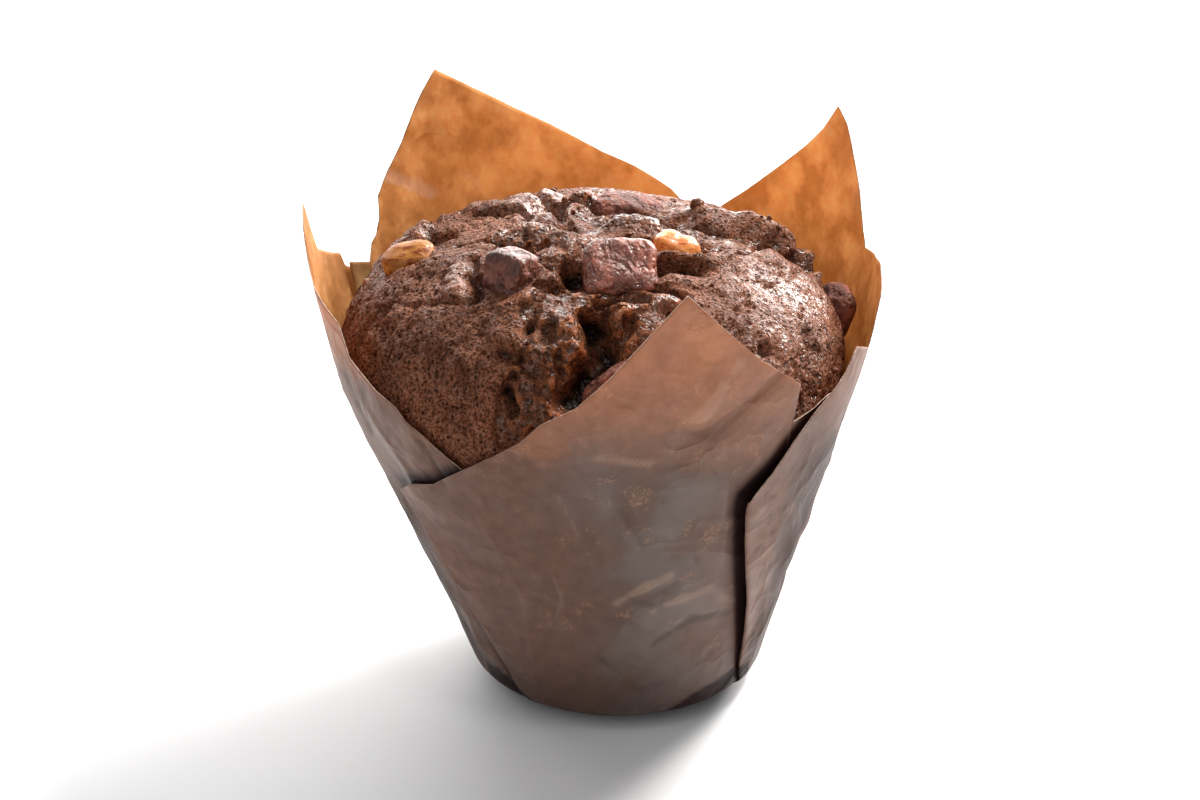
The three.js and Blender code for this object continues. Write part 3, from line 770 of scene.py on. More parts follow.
# ---- Shapes: the cake ------------------------------------------------------------------


def sunk_at(azimuth):
    """How far the sheet is sunk behind a pleat at an azimuth, from 0 to 1."""
    sunk = np.zeros_like(azimuth)
    for index, petal in enumerate(PETALS):
        following, turn = following_petal(index)
        tuck, fold = petal["edge"][-1][0], following["edge"][0][0] + turn
        away = np.abs(turned_from((fold + tuck) / 2, azimuth))
        clear = (tuck - fold) / 2 + PLEAT_SWING
        sunk = np.maximum(sunk, 1 - smoothstep(away, clear, clear + PLEAT_RAMP))
    return sunk


def inside_cup(points):
    x = points[..., 0] - axis_x(points[..., 2])
    azimuth = np.degrees(np.arctan2(points[..., 1], x))
    room = CAKE_CLEARANCE + SUNK_PITCH * sunk_at(azimuth)
    near = np.hypot(x, points[..., 1]) < cup_radius(points[..., 2]) - room
    return (points[..., 2] > CAKE_FLOOR) & near


def inside_crown(points):
    """A cylinder up to the waist, and a squarish ellipsoid above it."""
    radius = np.hypot(points[..., 0] - CROWN_CENTRE_X, points[..., 1]) / CROWN_RADIUS
    rise = np.maximum(points[..., 2] - CROWN_WAIST, 0) / CROWN_RISE
    return radius**CROWN_SQUARENESS + rise**CROWN_SQUARENESS < 1


def reach_of(rays, inside):
    """How far each ray from the heart runs before it leaves the shape, by halving."""
    near = np.zeros(len(rays))
    far = np.full(len(rays), LONGEST_RAY)
    for _ in range(HALVINGS):
        middle = (near + far) / 2
        held = inside(HEART + middle[:, None] * rays)
        near = np.where(held, middle, near)
        far = np.where(held, far, middle)
    return near


def ball_directions(cells):
    """Directions over a ball from a square grid. The square is pressed into a disc by
    x sqrt(1 - y^2/2) and y sqrt(1 - x^2/2), and the disc is wrapped round the ball with
    most of its width over the dome."""
    side = np.linspace(-1, 1, cells + 1)
    across, along = np.meshgrid(side, side)
    x = across * np.sqrt(1 - along**2 / 2)
    y = along * np.sqrt(1 - across**2 / 2)
    tilt = np.radians(np.interp(np.hypot(x, y), BALL_RADII, BALL_TILTS))
    turn = np.arctan2(y, x)
    rays = [np.sin(tilt) * np.cos(turn), np.sin(tilt) * np.sin(turn), np.cos(tilt)]
    return np.stack(rays, axis=-1).reshape(-1, 3)


def block_turn(turn):
    """The matrix of a turn about X, then Y, then Z, in degrees."""
    a, b, c = np.radians(turn)
    about_x = np.array([[1, 0, 0], [0, np.cos(a), -np.sin(a)], [0, np.sin(a), np.cos(a)]])
    about_y = np.array([[np.cos(b), 0, np.sin(b)], [0, 1, 0], [-np.sin(b), 0, np.cos(b)]])
    about_z = np.array([[np.cos(c), -np.sin(c), 0], [np.sin(c), np.cos(c), 0], [0, 0, 1]])
    return about_z @ about_y @ about_x


def block_depth(points, block):
    """Where a point lies in a rounded block: below 1 inside, 1 on its surface."""
    _, at, size, turn, squareness = block
    local = (points - np.array(at)) @ block_turn(turn) / (np.array(size) / 2)
    return np.sum(np.abs(local) ** squareness, axis=-1) ** (1 / squareness)


def on_dome(spot):
    """The point of the plain dome under a spot seen from above."""
    radius = np.hypot(spot[0] - CROWN_CENTRE_X, spot[1]) / CROWN_RADIUS
    rise = max(1 - radius**CROWN_SQUARENESS, 0) ** (1 / CROWN_SQUARENESS)
    return spot[0], spot[1], CROWN_WAIST + CROWN_RISE * rise


def plate_relief(points, bent):
    """Each point belongs to the plate nearest to it for its reach, and sinks into a crack
    where a second plate is as near. Returns the height, the share of torn crumb, and how
    far the plate's lip is pushed over the crack."""
    at = np.array([plate[0] for plate in PLATES], float)
    reach, lift, skin, crack = np.array([plate[1:] for plate in PLATES], float).T
    share = lengths(bent[:, None] - at[None]) / reach
    order = np.argsort(share, axis=1)[:, :2]
    first, second = order.T
    near = np.take_along_axis(share, order, axis=1)
    from_edge = (near[:, 1] - near[:, 0]) * (reach[first] + reach[second]) / 4
    depth = (crack[first] + crack[second]) / 2
    width = 1.8 * (1 + 0.5 * noise(points, 6, 3))
    cleft = depth * (1 - smoothstep(from_edge, 0.1, width))
    flatter = 1 - 0.3 * np.minimum(near[:, 0], 1) ** 2
    crest = lift[first] * smoothstep(from_edge, 0, 1.6) * flatter
    by_edge = 0.8 * np.exp(-((from_edge / 1.6) ** 2))
    torn = 1 - skin[first] + by_edge + 0.35 * noise(points, 7, 4)
    outwards = points - at[first]
    outwards /= lengths(outwards)[:, None] + 1e-9
    lip = np.exp(-(((from_edge - 1.5) / 1.0) ** 2)) * smoothstep(lift[first], 0.5, 1.5)
    return crest - cleft, smoothstep(torn, 0.3, 0.7), lip[:, None] * outwards


def heaped(points, stretches, sharpness):
    """The highest of the heaps at each point, each one at its full height along its stretch
    and falling to nothing round it. A greater sharpness makes a steeper side."""
    top = np.zeros(len(points))
    for start, end, width, height in stretches:
        away = from_segment(points, on_dome(start), on_dome(end)) / width
        top = np.maximum(top, height * np.exp(-(away**sharpness)))
    return top


def crown_relief(points, lump_height, overhang):
    """The burst crust: plates, heaps and gashes, with places bent by noise so that every
    edge is ragged. Skin has fine pores, pits and grooves, and torn crumb is pebbly."""
    ragged = 0.7 * vector_noise(points, 3.2, 2) + 0.25 * vector_noise(points, 1.4, 16)
    height, torn, lip = plate_relief(points, points + 1.8 * vector_noise(points, 11, 1) + ragged)
    heaps = heaped(points + ragged, HEAPS, 3.0)
    gashes = heaped(points + 0.8 * ragged, GASHES, 4.0)
    torn = np.clip(torn + smoothstep(heaps, 0.3, 0.9) * 0.3 + smoothstep(gashes, 1.2, 2.0), 0, 1)

    small, _ = pebbles(points + 0.4 * ragged, 1.7, 6)
    strand = 1 - np.abs(noise(points + ragged, 3.2, 19))
    fine = 1 - np.abs(noise(points, 1.5, 5))
    lumps = (0.5 - small) * 0.35 + 0.45 * (strand - 0.7) + 0.2 * (fine - 0.7)
    holes = smoothstep(noise(points + ragged, 3.4, 8), 0.36, 0.5) * 0.5

    pore, rare = pebbles(points, 1.4, 9)
    pores = 0.5 * (1 - smoothstep(pore, 0.12, 0.42)) * (rare > 0.3)
    pit, few = pebbles(points + ragged, 3.2, 20)
    pits = 0.7 * (1 - smoothstep(pit, 0.08, 0.34)) * (few > 0.5)
    stretched = points * np.array([1, 1, 0.4])
    groove = 1 - np.abs(noise(stretched + 0.8 * vector_noise(points, 3, 10), 2.6, 11))
    grooves = 0.7 * smoothstep(groove, 0.84, 1.0) * smoothstep(noise(points, 9, 12), -0.2, 0.3)
    swell = 0.35 * noise(points, 11, 14) + 0.32 * noise(points, 4, 15)
    skin = swell - pores - pits - grooves + 0.16 * noise(points, 1.3, 13)

    height = height + heaps - gashes
    height += torn * (lumps * lump_height - holes) + (1 - torn) * skin
    shift = overhang * lip + (torn * 0.3)[:, None] * vector_noise(points, 2.6, 18)
    return height, shift, torn


def softened(grid, rounds):
    """A grid of values averaged with its neighbours again and again, by 1-2-1 weights. Its
    first and last columns are neighbours, its first and last rows aren't."""
    for _ in range(rounds):
        tall = np.pad(grid, ((1, 1), (0, 0)), mode="edge")
        grid = (tall[:-2] + 2 * grid + tall[2:]) / 4
        grid = (np.roll(grid, 1, 1) + 2 * grid + np.roll(grid, -1, 1)) / 4
    return grid


def cake_surface(sizes):
    """The cake seen from its heart: along each ray the nearer of cup and dome, raised by the
    crust's relief above the case, and kept under the chunks and nuts that sit in it. Where
    the relief lies below its own mean over a few millimetres it is hollow, and where torn
    crumb stands above it is a rim."""
    rays = ball_directions(CAKE_CELLS)
    cup = reach_of(rays, inside_cup)
    plain = np.minimum(cup, reach_of(rays, inside_crown))
    points = HEART + plain[:, None] * rays
    free = smoothstep(points[:, 2], CRUST_START, CRUST_FULL)
    height, shift, torn = crown_relief(points, sizes.lump_height / MM, sizes.overhang / MM)
    along = np.sum(shift * rays, axis=1, keepdims=True)
    reach = np.minimum(cup, plain + free * height)
    placed = HEART + reach[:, None] * rays + free[:, None] * (shift - along * rays)
    for block in CHUNKS + NUTS:
        depth = block_depth(placed, block)
        sink = np.maximum(SOCKET_EDGE - depth, 0) * min(block[2]) * SOCKET_PRESS
        sink += MOAT_DEPTH * np.exp(-(((depth - MOAT_AT) / MOAT_WIDTH) ** 2))
        placed -= sink[:, None] * rays
    side = CAKE_CELLS + 1
    grid = (np.minimum(height, cup - plain) * free).reshape(side, side)
    proud = (grid - softened(grid, BROAD_ROUNDS)).ravel()
    edge = (grid - softened(grid, CLOSE_ROUNDS)).ravel()
    values = {
        "torn": torn * free,
        "hollow": smoothstep(-proud, 0.7, 3.0),
        "rim": torn * np.clip(smoothstep(proud, 0.6, 1.8) + smoothstep(edge, 0.12, 0.5), 0, 1),
        "glaze_and_highlight": heaped(points, GLAZES_AND_HIGHLIGHTS, 2.0),
    }
    return placed, rays, values


# ---- Shapes: blocks and crumbs ---------------------------------------------------------


def cube_grid(cells):
    """The six faces of a cube from -1 to 1 as grids, with shared edges welded."""
    side = np.linspace(-1, 1, cells + 1)
    across, along = (part.ravel() for part in np.meshgrid(side, side))
    quads = grid_quads(cells + 1, cells + 1)
    points, faces = [], []
    for axis in range(3):
        for sign in (1, -1):
            face = np.empty((len(across), 3))
            face[:, axis] = sign
            face[:, (axis + 1) % 3] = across
            face[:, (axis + 2) % 3] = along
            faces.append((quads if sign > 0 else quads[:, ::-1]) + len(points) * len(face))
            points.append(face)
    points = np.concatenate(points)
    _, first, place = np.unique(
        np.round(points, 6), axis=0, return_index=True, return_inverse=True,
    )
    return points[first], place.ravel()[np.concatenate(faces)]


def rounded_block(block, cells, dents, groove=0.0):
    """A cube's grid pulled onto a superellipsoid, rippled by a sine and dented by noise.
    groove sinks a band round its waist. Turned, and moved to its place."""
    _, at, size, turn, squareness = block
    points, quads = cube_grid(cells)
    points = pulled_round(points, squareness)
    ripple = np.sin(3 * points[:, 0] + 5 * points[:, 1] + 4 * points[:, 2] + at[0])
    points = points * (1 + RIPPLE * ripple)[:, None]
    body = points * np.array(size) / 2
    outward = points / lengths(points)[:, None]
    seed = int(abs(at[0]) * 7 + abs(at[1]) * 3)
    drop = dents * (noise(body, 4.0, seed) + 0.6 * noise(body, 1.8, seed + 1))
    pit, chance = pebbles(body, 1.3, seed + 2)
    drop -= dents * 0.9 * (1 - smoothstep(pit, 0.1, 0.45)) * (chance > 0.5)
    drop -= groove * np.exp(-(((points[:, 0] - 0.1) / 0.28) ** 2))
    body = body + outward * drop[:, None]
    return body @ block_turn(turn).T + np.array(at, float), quads


def pulled_round(points, squareness):
    """A cube's points pulled along their rays onto a superellipsoid."""
    reach = np.sum(np.abs(points) ** squareness, axis=1) ** (-1 / squareness)
    return points * reach[:, None]


def loose_crumbs(points, rays, values, count, size):
    """Small dented blocks set on points of the cake, most of them by cracks and torn crumb,
    each turned by its own random matrix."""
    draw = np.random.default_rng(CRUMB_SEED)
    high = points[:, 2] > CRUST_FULL
    weight = high * (0.15 + values["torn"] + 2.0 * values["rim"]) * (1 - values["hollow"])
    chosen = draw.choice(len(points), count, replace=False, p=weight / weight.sum())
    base, quads = cube_grid(CRUMB_CELLS)
    base = pulled_round(base, CRUMB_SQUARENESS)
    spin, _ = np.linalg.qr(draw.normal(size=(count, 3, 3)))
    spin *= np.sign(np.linalg.det(spin))[:, None, None]
    widths = size * draw.lognormal(0, 0.38, (count, 1, 1)) * draw.uniform(0.7, 1.2, (count, 1, 3))
    lumpy = base[None] * (1 + 0.22 * draw.normal(size=(count, len(base), 1)))
    body = (lumpy * widths / 2) @ spin
    place = points[chosen] + rays[chosen] * (widths.mean(axis=(1, 2)) * 0.22)[:, None]
    corners = body + place[:, None]
    faces = quads[None] + (np.arange(count) * len(base))[:, None, None]
    return corners.reshape(-1, 3), faces.reshape(-1, 4)


# ---- Materials -------------------------------------------------------------------------


def node(tree, kind, inputs=(), **settings):
    """Adds a shader node, and fills its sockets with values or with other nodes' outputs."""
    made = tree.nodes.new(kind)
    for key, value in settings.items():
        setattr(made, key, value)
    for socket, value in dict(inputs).items():
        if isinstance(value, bpy.types.NodeSocket):
            tree.links.new(value, made.inputs[socket])
        else:
            made.inputs[socket].default_value = value
    return made


def new_material(name):
    material = bpy.data.materials.new(name)
    material.use_nodes = True
    tree = material.node_tree
    tree.nodes.clear()
    place = node(tree, "ShaderNodeTexCoord").outputs["Object"]
    return material, tree, place


def finished(material, shader):
    node(material.node_tree, "ShaderNodeOutputMaterial", {"Surface": shader})
    return material


def principled(tree, inputs):
    return node(tree, "ShaderNodeBsdfPrincipled", inputs).outputs[0]


def grain_at(tree, place, size, detail=2.0, roughness=0.5, distortion=0.0):
    """Noise whose lumps are about size millimetres wide."""
    texture = node(tree, "ShaderNodeTexNoise", {
        "Vector": place, "Scale": 1 / (size * MM), "Detail": detail,
        "Roughness": roughness, "Distortion": distortion,
    })
    return texture.outputs["Fac"]


def cells_at(tree, place, size):
    """Distance to the nearest point of a scatter about size millimetres apart."""
    texture = node(tree, "ShaderNodeTexVoronoi", {"Vector": place, "Scale": 1 / (size * MM)})
    return texture.outputs["Distance"]


def stretched(tree, place, scale):
    return node(tree, "ShaderNodeMapping", {"Vector": place, "Scale": scale}).outputs[0]


def ranged(tree, value, low, high, start=0.0, end=1.0):
    """A value's span from low to high eased onto a span from start to end."""
    made = node(tree, "ShaderNodeMapRange", {
        "Value": value, "From Min": low, "From Max": high, "To Min": start, "To Max": end,
    }, interpolation_type="SMOOTHSTEP")
    return made.outputs["Result"]


def times(tree, a, b):
    return node(tree, "ShaderNodeMath", {0: a, 1: b}, operation="MULTIPLY").outputs[0]


def blended(tree, share, a, b, mode="MIX"):
    made = node(tree, "ShaderNodeMix", {0: share, 6: a, 7: b}, data_type="RGBA", blend_type=mode)
    return made.outputs[2]


def multiplied(tree, a, b, share=1.0):
    return blended(tree, share, a, b, "MULTIPLY")


def between(tree, value, low, high, a, b):
    """Goes from colour a to colour b while a value runs from low to high."""
    return blended(tree, ranged(tree, value, low, high), a, b)


def shades(tree, value, low, high, colour, darker, lighter):
    return between(tree, value, low, high, tint(colour, darker), tint(colour, lighter))


def layered(tree, colour, *layers):
    """A colour with others laid over it in turn, each given as its share and its colour."""
    for share, over in layers:
        colour = blended(tree, share, colour, over)
    return colour


def attribute(tree, name):
    return node(tree, "ShaderNodeAttribute", attribute_name=name).outputs["Fac"]


def bumped(tree, *layers, under=None):
    """Bumps over one another, each given as its height, depth in millimetres and strength."""
    for height, distance, strength in layers:
        inputs = {"Height": height, "Distance": distance * MM, "Strength": strength}
        if under is not None:
            inputs["Normal"] = under
        under = node(tree, "ShaderNodeBump", inputs).outputs["Normal"]
    return under


def tint(colour, factor=1.0):
    return tuple(min(part * factor, 1.0) for part in colour) + (1.0,)


def crumb_material(name, colours, dressed):
    """Baked crumb: grainy brown with pores, with painted shade in the pits and painted light on
    the tops of its grain, darker pores and near-black hollows as painted shade, redder at torn
    rims, coated where it is glazed and paler there as a painted highlight, and with wet
    glints. dressed reads the cake's own values; loose crumbs have none."""
    material, tree, place = new_material(name)
    fine = grain_at(tree, place, 0.5, 3.0, 0.62)
    middle = grain_at(tree, place, 1.7, 3.0, 0.6)
    pore = cells_at(tree, place, 1.0)
    if dressed:
        labels = ("hollow", "torn", "rim", "glaze_and_highlight")
        hollow, torn, rim, glazed = (attribute(tree, label) for label in labels)
        broad = grain_at(tree, place, 9.0, 2.0, 0.5)
        spots = ranged(tree, grain_at(tree, place, 2.4, 2.0, 0.6), 0.38, 0.56)
        glaze_and_highlight = times(tree, glazed, spots)
        # Painted shade: the crumb goes near black in the hollows. Painted highlight: the crust is
        # paler where it is glazed.
        colour = layered(
            tree, shades(tree, broad, 0.35, 0.65, colours.crust, 0.84, 1.16),
            (torn, shades(tree, middle, 0.4, 0.62, colours.crumb, 0.7, 1.5)),
            (times(tree, rim, ranged(tree, middle, 0.44, 0.58)), tint(colours.rim)),
            (ranged(tree, hollow, 0.1, 1.0), tint(colours.crumb, 0.12)),
            (times(tree, glaze_and_highlight, 0.5), tint(colours.crust, 1.9)),
        )
        moist = ranged(tree, torn, 0, 1, 0.25, 1.0)
        contrast = ranged(tree, torn, 0, 1, 1.0, 0.35)
    else:
        dark, pale = tint(colours.crumb, 1.1), tint(colours.rim, 0.8)
        colour = between(tree, middle, 0.4, 0.6, dark, pale)
        moist = ranged(tree, middle, 0.4, 0.6)
        glaze_and_highlight = 0.0
        contrast = 0.6
    # The fine grain is also the bump: its pits get painted shade and its tops painted light, and
    # the pores are darkened as painted shade.
    grain = ranged(tree, fine, 0.34, 0.62)
    colour = multiplied(tree, colour, blended(tree, grain, *PIT_SHADE_SPECKLES), contrast)
    pore_shade = times(tree, ranged(tree, pore, 0.30, 0.10, 0, 0.85), contrast)
    soft = bumped(tree, (middle, 0.9, 0.7), (ranged(tree, pore, 0.08, 0.42), 0.45, 0.9))
    wet = times(tree, moist, ranged(tree, grain_at(tree, place, 1.3, 2.0, 0.6), 0.44, 0.60))
    return finished(material, principled(tree, {
        "Base Color": blended(tree, pore_shade, colour, tint(colours.rim, 0.16)),
        "Normal": bumped(tree, (fine, 1.0, contrast), under=soft),
        "Specular IOR Level": times(tree, grain, ranged(tree, wet, 0, 1, 0.16, 0.90)),
        "Roughness": ranged(tree, wet, 0, 1, 0.50, 0.20),
        "Coat Weight": glaze_and_highlight, "Coat Roughness": 0.26, "Coat Normal": soft,
    }))


def chocolate_material(colours, name, gloss, factor):
    """Dark chocolate: a thin pale bloom in patches, wrinkles with painted shade in their
    hollows, small pits, and melted spots. gloss goes from 0, dull, to 1, and factor lightens
    the colour."""
    material, tree, place = new_material(name)
    brown = colours.chocolate
    patch = grain_at(tree, place, 3.2, 4.0, 0.6)
    wrinkle = grain_at(tree, stretched(tree, place, (1.0, 0.8, 0.8)), 2.4, 2.0, 0.5, 0.5)
    fine = grain_at(tree, place, 0.6, 3.0, 0.65)
    pit = ranged(tree, cells_at(tree, place, 1.1), 0.05, 0.5)
    melt = grain_at(tree, place, 1.6, 2.0, 0.5)
    bloom = shades(tree, patch, 0.38, 0.66, brown, 0.65 * factor, 1.7 * factor)
    # Painted shade: darker in the wrinkles' hollows, where the bump is lowest.
    folded = ranged(tree, wrinkle, 0.50, 0.36, 0, 0.6)
    return finished(material, principled(tree, {
        "Base Color": blended(tree, folded, bloom, tint(brown, 0.4 * factor)),
        "Normal": bumped(
            tree, (patch, 0.8, 0.7), (wrinkle, 1.5, 1.0), (fine, 0.3, 0.8), (pit, 0.25, 0.7),
        ),
        "Roughness": ranged(tree, melt, 0.42, 0.6, 0.62 - 0.36 * gloss, 0.72 - 0.24 * gloss),
        "Specular IOR Level": 0.15 + 0.40 * gloss,
        "Coat Weight": 0.08 * gloss, "Coat Roughness": 0.15,
    }))


def nut_material(name, colours, factor):
    """Baked nut: cream to orange in patches, with thin dark skin and a glazed surface."""
    material, tree, place = new_material(name)
    patch = grain_at(tree, place, 4.0, 3.0, 0.55)
    vein = grain_at(tree, stretched(tree, place, (1.0, 2.6, 2.6)), 2.2, 4.0, 0.6)
    orange, cream = tint(colours.nut, 0.9 * factor), tint(NUT_CREAM, factor)
    flesh = between(tree, patch, 0.38, 0.62, orange, cream)
    return finished(material, principled(tree, {
        "Base Color": between(tree, vein, 0.50, 0.64, flesh, tint(NUT_SKIN, factor)),
        "Normal": bumped(tree, (vein, 0.5, 0.5)), "Roughness": 0.45,
        "Coat Weight": 0.3 * factor, "Coat Roughness": 0.12,
        "Specular IOR Level": 0.4 * factor, "Subsurface Weight": 0.3,
        "Subsurface Scale": 0.0015, "Subsurface Radius": (1.0, 0.45, 0.2),
    }))


def crumpled(tree, place):
    """Shallow dishes that meet in soft creases: the square of the distance to the nearest
    point of a bent scatter, strongest in patches."""
    warp = node(tree, "ShaderNodeTexNoise", {
        "Vector": place, "Scale": 1 / (9 * MM), "Detail": 2.0,
    }).outputs["Color"]
    bent = node(tree, "ShaderNodeVectorMath", {0: warp, 1: (0.012, 0.012, 0.012), 2: place},
                operation="MULTIPLY_ADD").outputs[0]
    dish = cells_at(tree, stretched(tree, bent, (0.8, 0.8, 1.4)), 9.0)
    patch = ranged(tree, grain_at(tree, place, 16.0), 0.42, 0.60, 0.25, 1.0)
    return times(tree, times(tree, dish, dish), patch)


def papery(tree, colour, through, share, roughness, bump, sheen):
    """Paper: a half-matt face, mixed with the light that comes through the sheet."""
    face = principled(tree, {
        "Base Color": colour, "Normal": bump, "Roughness": roughness,
        "Specular IOR Level": sheen,
    })
    behind = node(tree, "ShaderNodeBsdfTranslucent", {"Color": through, "Normal": bump})
    return node(tree, "ShaderNodeMixShader", {
        0: share, 1: face, 2: behind.outputs[0],
    }).outputs[0]


def paper_outside_material(name, colours):
    """Outer face: brown with fine fibres. It is darker where moist cake lies behind the front,
    and greyer there as a painted sheen; darker in some patches; darker towards the foot as
    painted shade; tan in specks and along the doubled strip; paler on ridges as a painted
    highlight and darker in creases as painted shade; and nearly black, as painted shade,
    beside the folds and in the folded corners at the foot."""
    material, tree, place = new_material(name)
    labels = ("height", "crease", "front", "dark_patch", "strip", "painted_fold_shade")
    height, crease, front, dark_patch, strip, painted_fold_shade = (attribute(tree, label) for label in labels)
    cloud = grain_at(tree, place, 14.0, 4.0, 0.55)
    mottle = grain_at(tree, place, 2.6, 4.0, 0.65)
    fibre = grain_at(tree, place, 0.55, 3.0, 0.7)
    patch = ranged(tree, grain_at(tree, place, 8.0, 3.0, 0.6), 0.50, 0.62)
    # The damp patch behind the front: darker from the moist cake, and greyer as a painted sheen.
    moist = times(tree, front, ranged(tree, cloud, 0.30, 0.55, 0.65, 1))
    moist = times(tree, moist, ranged(tree, height, 74, 58))
    band = times(tree, patch, ranged(tree, mottle, 0.52, 0.60))
    speck = times(tree, band, ranged(tree, fibre, 0.50, 0.60))
    # Painted light in this colour: shade towards the foot, in creases and beside the folds, and a
    # highlight on ridges.
    colour = layered(
        tree, shades(tree, mottle, 0.32, 0.68, colours.paper_outside, 0.88, 1.20),
        (moist, between(tree, cloud, 0.36, 0.62, *DAMP_AND_SHEEN_PAPER)),
        (times(tree, dark_patch, 0.95), DARK_PATCH_PAPER),
        (times(tree, strip, ranged(tree, mottle, 0.40, 0.56, 0.15, 0.9)), STRIP_TAN),
        (times(tree, speck, 0.8), SPECK_TAN),
        (ranged(tree, crease, 0.03, 0.16, 0, 0.5), CREASE_HIGHLIGHT),
        (ranged(tree, crease, -0.03, -0.16, 0, 0.5), CREASE_SHADE),
        (ranged(tree, height, 22, 0, 0, 0.70), FOOT_PAINTED_SHADE),
        (painted_fold_shade, FOLD_PAINTED_SHADE),
    )
    # Where the fold shade is painted, the paper also lets almost no light through and loses most
    # of its sheen.
    share = times(tree, ranged(tree, painted_fold_shade, 0, 1, 0.27, 0.01), ranged(tree, front, 0, 1, 1, 0.62))
    sheen = times(tree, ranged(tree, painted_fold_shade, 0, 1, 0.22, 0.05), ranged(tree, dark_patch, 0, 1, 1, 0.3))
    bump = bumped(
        tree, (fibre, 0.05, 0.5), (mottle, 0.12, 0.5), (crumpled(tree, place), 1.0, 0.9),
    )
    rough = ranged(tree, cloud, 0.35, 0.65, 0.50, 0.40)
    return finished(material, papery(tree, colour, THROUGH_OUTSIDE, share, rough, bump, sheen))


def paper_inside_material(name, colours):
    """Inner face: warm orange brown, mottled by fat and fibres, and lit through the sheet.
    It is darker near the cake as painted shade, lighter towards the petals' tips as painted
    light, and paler on ridges as a painted highlight."""
    material, tree, place = new_material(name)
    height, crease = (attribute(tree, label) for label in ("height", "crease"))
    cloud = grain_at(tree, place, 9.0, 4.0, 0.6)
    mottle = grain_at(tree, stretched(tree, place, (1.0, 1.0, 0.75)), 3.0, 4.0, 0.65)
    stain_and_shade = between(tree, cloud, 0.38, 0.62, *STAINS)
    # Painted shade low on the inner face, where it lies against the cake, and painted light
    # towards the petals' tips.
    stain_and_shade = multiplied(tree, stain_and_shade, ranged(tree, height, 53, 62, 0.12, 1.0))
    stain_and_shade = multiplied(tree, stain_and_shade, ranged(tree, height, 64, 82, 0.92, 1.35))
    colour = shades(tree, mottle, 0.34, 0.66, colours.paper_inside, 0.85, 1.15)
    colour = multiplied(tree, colour, stain_and_shade)
    # Painted highlight on the ridges of the inner face.
    colour = blended(tree, ranged(tree, crease, 0.04, 0.16, 0, 0.6), colour, CREASE_INSIDE_HIGHLIGHT)
    through = multiplied(tree, between(tree, mottle, 0.34, 0.66, *THROUGH_INSIDE), stain_and_shade)
    bump = bumped(tree, (mottle, 0.10, 0.5), (crumpled(tree, place), 0.8, 0.8))
    return finished(material, papery(tree, colour, through, 0.6, 0.5, bump, 0.4))


def paper_edge_material(name, colours):
    """The cut edge of the sheet, paler than its faces."""
    material, tree, place = new_material(name)
    fibre = grain_at(tree, place, 0.5, 2.0, 0.6)
    colour = between(tree, fibre, 0.4, 0.6, tint(colours.paper_outside, 1.5), CUT_EDGE)
    return finished(material, principled(tree, {"Base Color": colour, "Roughness": 0.7}))


def plain_material(name, colour, roughness):
    material, tree, place = new_material(name)
    tone = blended(tree, grain_at(tree, place, 60.0), tint(colour, 0.985), tint(colour))
    return finished(material, principled(tree, {"Base Color": tone, "Roughness": roughness}))


# ---- Operators -------------------------------------------------------------------------


def facing(direction):
    """The turn of a lamp or camera that looks along a direction."""
    return direction.to_track_quat("-Z", "Y").to_euler()


class MUFFIN_OT_cake(bpy.types.Operator):
    """Bake the cake: the body in the cup, the burst dome, and the loose crumbs on it"""

    bl_idname = "muffin.cake"
    bl_label = "Cake and crumbs"

    def execute(self, context):
        sizes, colours = context.scene.muffin_sizes, context.scene.muffin_colours
        points, rays, values = cake_surface(sizes)
        side = CAKE_CELLS + 1
        index = np.arange(side * side).reshape(side, side)
        rim = (index[0, :-1], index[:-1, -1], index[-1, :0:-1], index[:0:-1, 0])
        cap = np.concatenate(rim)[::-1]
        baked = crumb_material("Baked crumb", colours, True)
        cake = make_piece("baked_cake", points, grid_quads(side, side), [baked], [cap], values)
        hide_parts("cake")
        if sizes.crumb_count:
            corners, faces = loose_crumbs(
                points, rays, values, sizes.crumb_count, sizes.crumb_size / MM,
            )
            loose = crumb_material("Loose crumb", colours, False)
            crumbs = make_piece("loose_crumbs", corners, faces, [loose])
        return {"FINISHED"}


class MUFFIN_OT_paper_case(bpy.types.Operator):
    """Fold the paper case: one sheet with four pleats and four pointed petals"""

    bl_idname = "muffin.paper_case"
    bl_label = "Paper case"

    def execute(self, context):
        sizes, colours = context.scene.muffin_sizes, context.scene.muffin_colours
        points, values = paper_sheet(sizes.wrinkle_depth / MM)
        rows, columns = points.shape[:2]
        cap = np.arange(columns)[::-1]
        quads = grid_quads(rows, columns, True)
        papers = [
            paper_outside_material("Paper outside", colours),
            paper_inside_material("Paper inside", colours),
            paper_edge_material("Paper edge", colours),
        ]
        case = make_piece("tulip_case", points.reshape(-1, 3), quads, papers, [cap], values)
        shell = case.modifiers.new("Sheet thickness", "SOLIDIFY")
        shell.thickness = sizes.paper_thickness
        shell.offset = 0
        shell.material_offset = 1
        shell.material_offset_rim = 2
        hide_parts("paper_case")
        return {"FINISHED"}


class MUFFIN_OT_chunks(bpy.types.Operator):
    """Set the chocolate chunks into the dome"""

    bl_idname = "muffin.chunks"
    bl_label = "Chocolate chunks"

    def execute(self, context):
        colours = context.scene.muffin_colours
        dull = chocolate_material(colours, *DULL_LOOK)
        shiny = {name: chocolate_material(colours, *look) for name, look in CHUNK_LOOKS.items()}
        for block in CHUNKS:
            points, quads = rounded_block(block, CHUNK_CELLS, CHUNK_DENTS)
            chocolate = shiny.get(block[0], dull)
            chunk = make_piece("chocolate_" + block[0], points, quads, [chocolate])
            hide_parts(block[0])
        return {"FINISHED"}


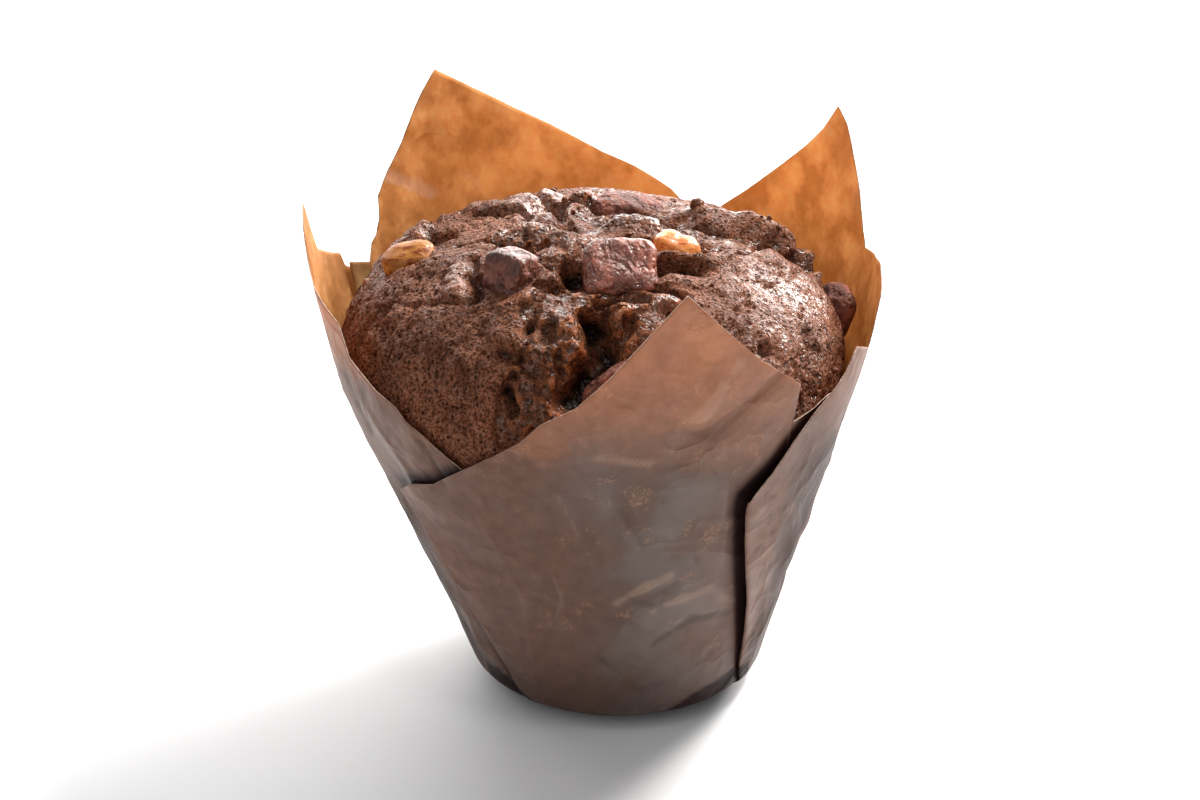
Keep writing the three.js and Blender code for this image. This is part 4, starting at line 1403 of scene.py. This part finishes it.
class MUFFIN_OT_nuts(bpy.types.Operator):
    """Set the nut pieces into the dome"""

    bl_idname = "muffin.nuts"
    bl_label = "Nut pieces"

    def execute(self, context):
        colours = context.scene.muffin_colours
        for block in NUTS:
            groove, factor = NUT_LOOKS[block[0]]
            points, quads = rounded_block(block, NUT_CELLS, NUT_DENTS, groove)
            flesh = nut_material("Baked " + block[0], colours, factor)
            nut = make_piece("baked_" + block[0], points, quads, [flesh])
            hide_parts(block[0])
        return {"FINISHED"}


class MUFFIN_OT_stage(bpy.types.Operator):
    """Put the muffin on a pale floor in soft studio light, with a camera before it"""

    bl_idname = "muffin.stage"
    bl_label = "Floor, lights and camera"

    def execute(self, context):
        scene = context.scene
        mesh = bpy.data.meshes.new("floor")
        far = FLOOR_REACH
        corners = [(-far, -far, 0), (far, -far, 0), (far, far, 0), (-far, far, 0)]
        mesh.from_pydata(corners, [], [(0, 1, 2, 3)])
        mesh.materials.append(plain_material("Pale floor", FLOOR_GREY, 0.8))
        floor = bpy.data.objects.new("floor", mesh)
        scene.collection.objects.link(floor)

        for name, place, size, power, colour in LAMPS:
            lamp = bpy.data.lights.new(name, "AREA")
            lamp.size = size
            lamp.energy = power
            lamp.color = colour
            holder = bpy.data.objects.new(name, lamp)
            holder.location = place
            holder.rotation_euler = facing(LAMP_TARGET - Vector(place))
            scene.collection.objects.link(holder)

        world = bpy.data.worlds.new("Studio")
        world.use_nodes = True
        surround = world.node_tree.nodes["Background"]
        surround.inputs["Color"].default_value = SURROUND
        surround.inputs["Strength"].default_value = SURROUND_STRENGTH
        scene.world = world
        scene.view_settings.view_transform = "Standard"

        camera = bpy.data.cameras.new("camera")
        camera.lens = CAMERA_LENS
        camera.sensor_width = SENSOR_WIDTH
        camera.clip_start = 0.01
        viewer = bpy.data.objects.new("camera", camera)
        elevation = np.radians(CAMERA_ELEVATION)
        away = Vector((0, -np.cos(elevation), np.sin(elevation))) * CAMERA_DISTANCE
        viewer.location = CAMERA_AIM + away
        viewer.rotation_euler = facing(-away)
        scene.collection.objects.link(viewer)
        scene.camera = viewer
        return {"FINISHED"}


class MUFFIN_PT_panel(bpy.types.Panel):
    """Sizes, colours and the steps that bake the muffin"""

    bl_idname = "MUFFIN_PT_panel"
    bl_label = "Muffin"
    bl_space_type = "VIEW_3D"
    bl_region_type = "UI"
    bl_category = "Muffin"

    def draw(self, context):
        layout = self.layout
        for group in (context.scene.muffin_sizes, context.scene.muffin_colours):
            column = layout.column()
            for name in group.__annotations__:
                column.prop(group, name)
        for operator in OPERATORS:
            layout.operator(operator.bl_idname)


OPERATORS = (
    MUFFIN_OT_stage,
    MUFFIN_OT_cake,
    MUFFIN_OT_paper_case,
    MUFFIN_OT_chunks,
    MUFFIN_OT_nuts,
)
CLASSES = (MuffinSizes, MuffinColours, *OPERATORS, MUFFIN_PT_panel)


def register():
    for kind in CLASSES:
        bpy.utils.register_class(kind)
    bpy.types.Scene.muffin_sizes = PointerProperty(type=MuffinSizes)
    bpy.types.Scene.muffin_colours = PointerProperty(type=MuffinColours)


def unregister():
    del bpy.types.Scene.muffin_colours
    del bpy.types.Scene.muffin_sizes
    for kind in reversed(CLASSES):
        bpy.utils.unregister_class(kind)


def main():
    register()
    bpy.ops.muffin.stage()
    bpy.ops.muffin.cake()
    bpy.ops.muffin.paper_case()
    bpy.ops.muffin.chunks()
    bpy.ops.muffin.nuts()


if __name__ == "__main__":
    main()
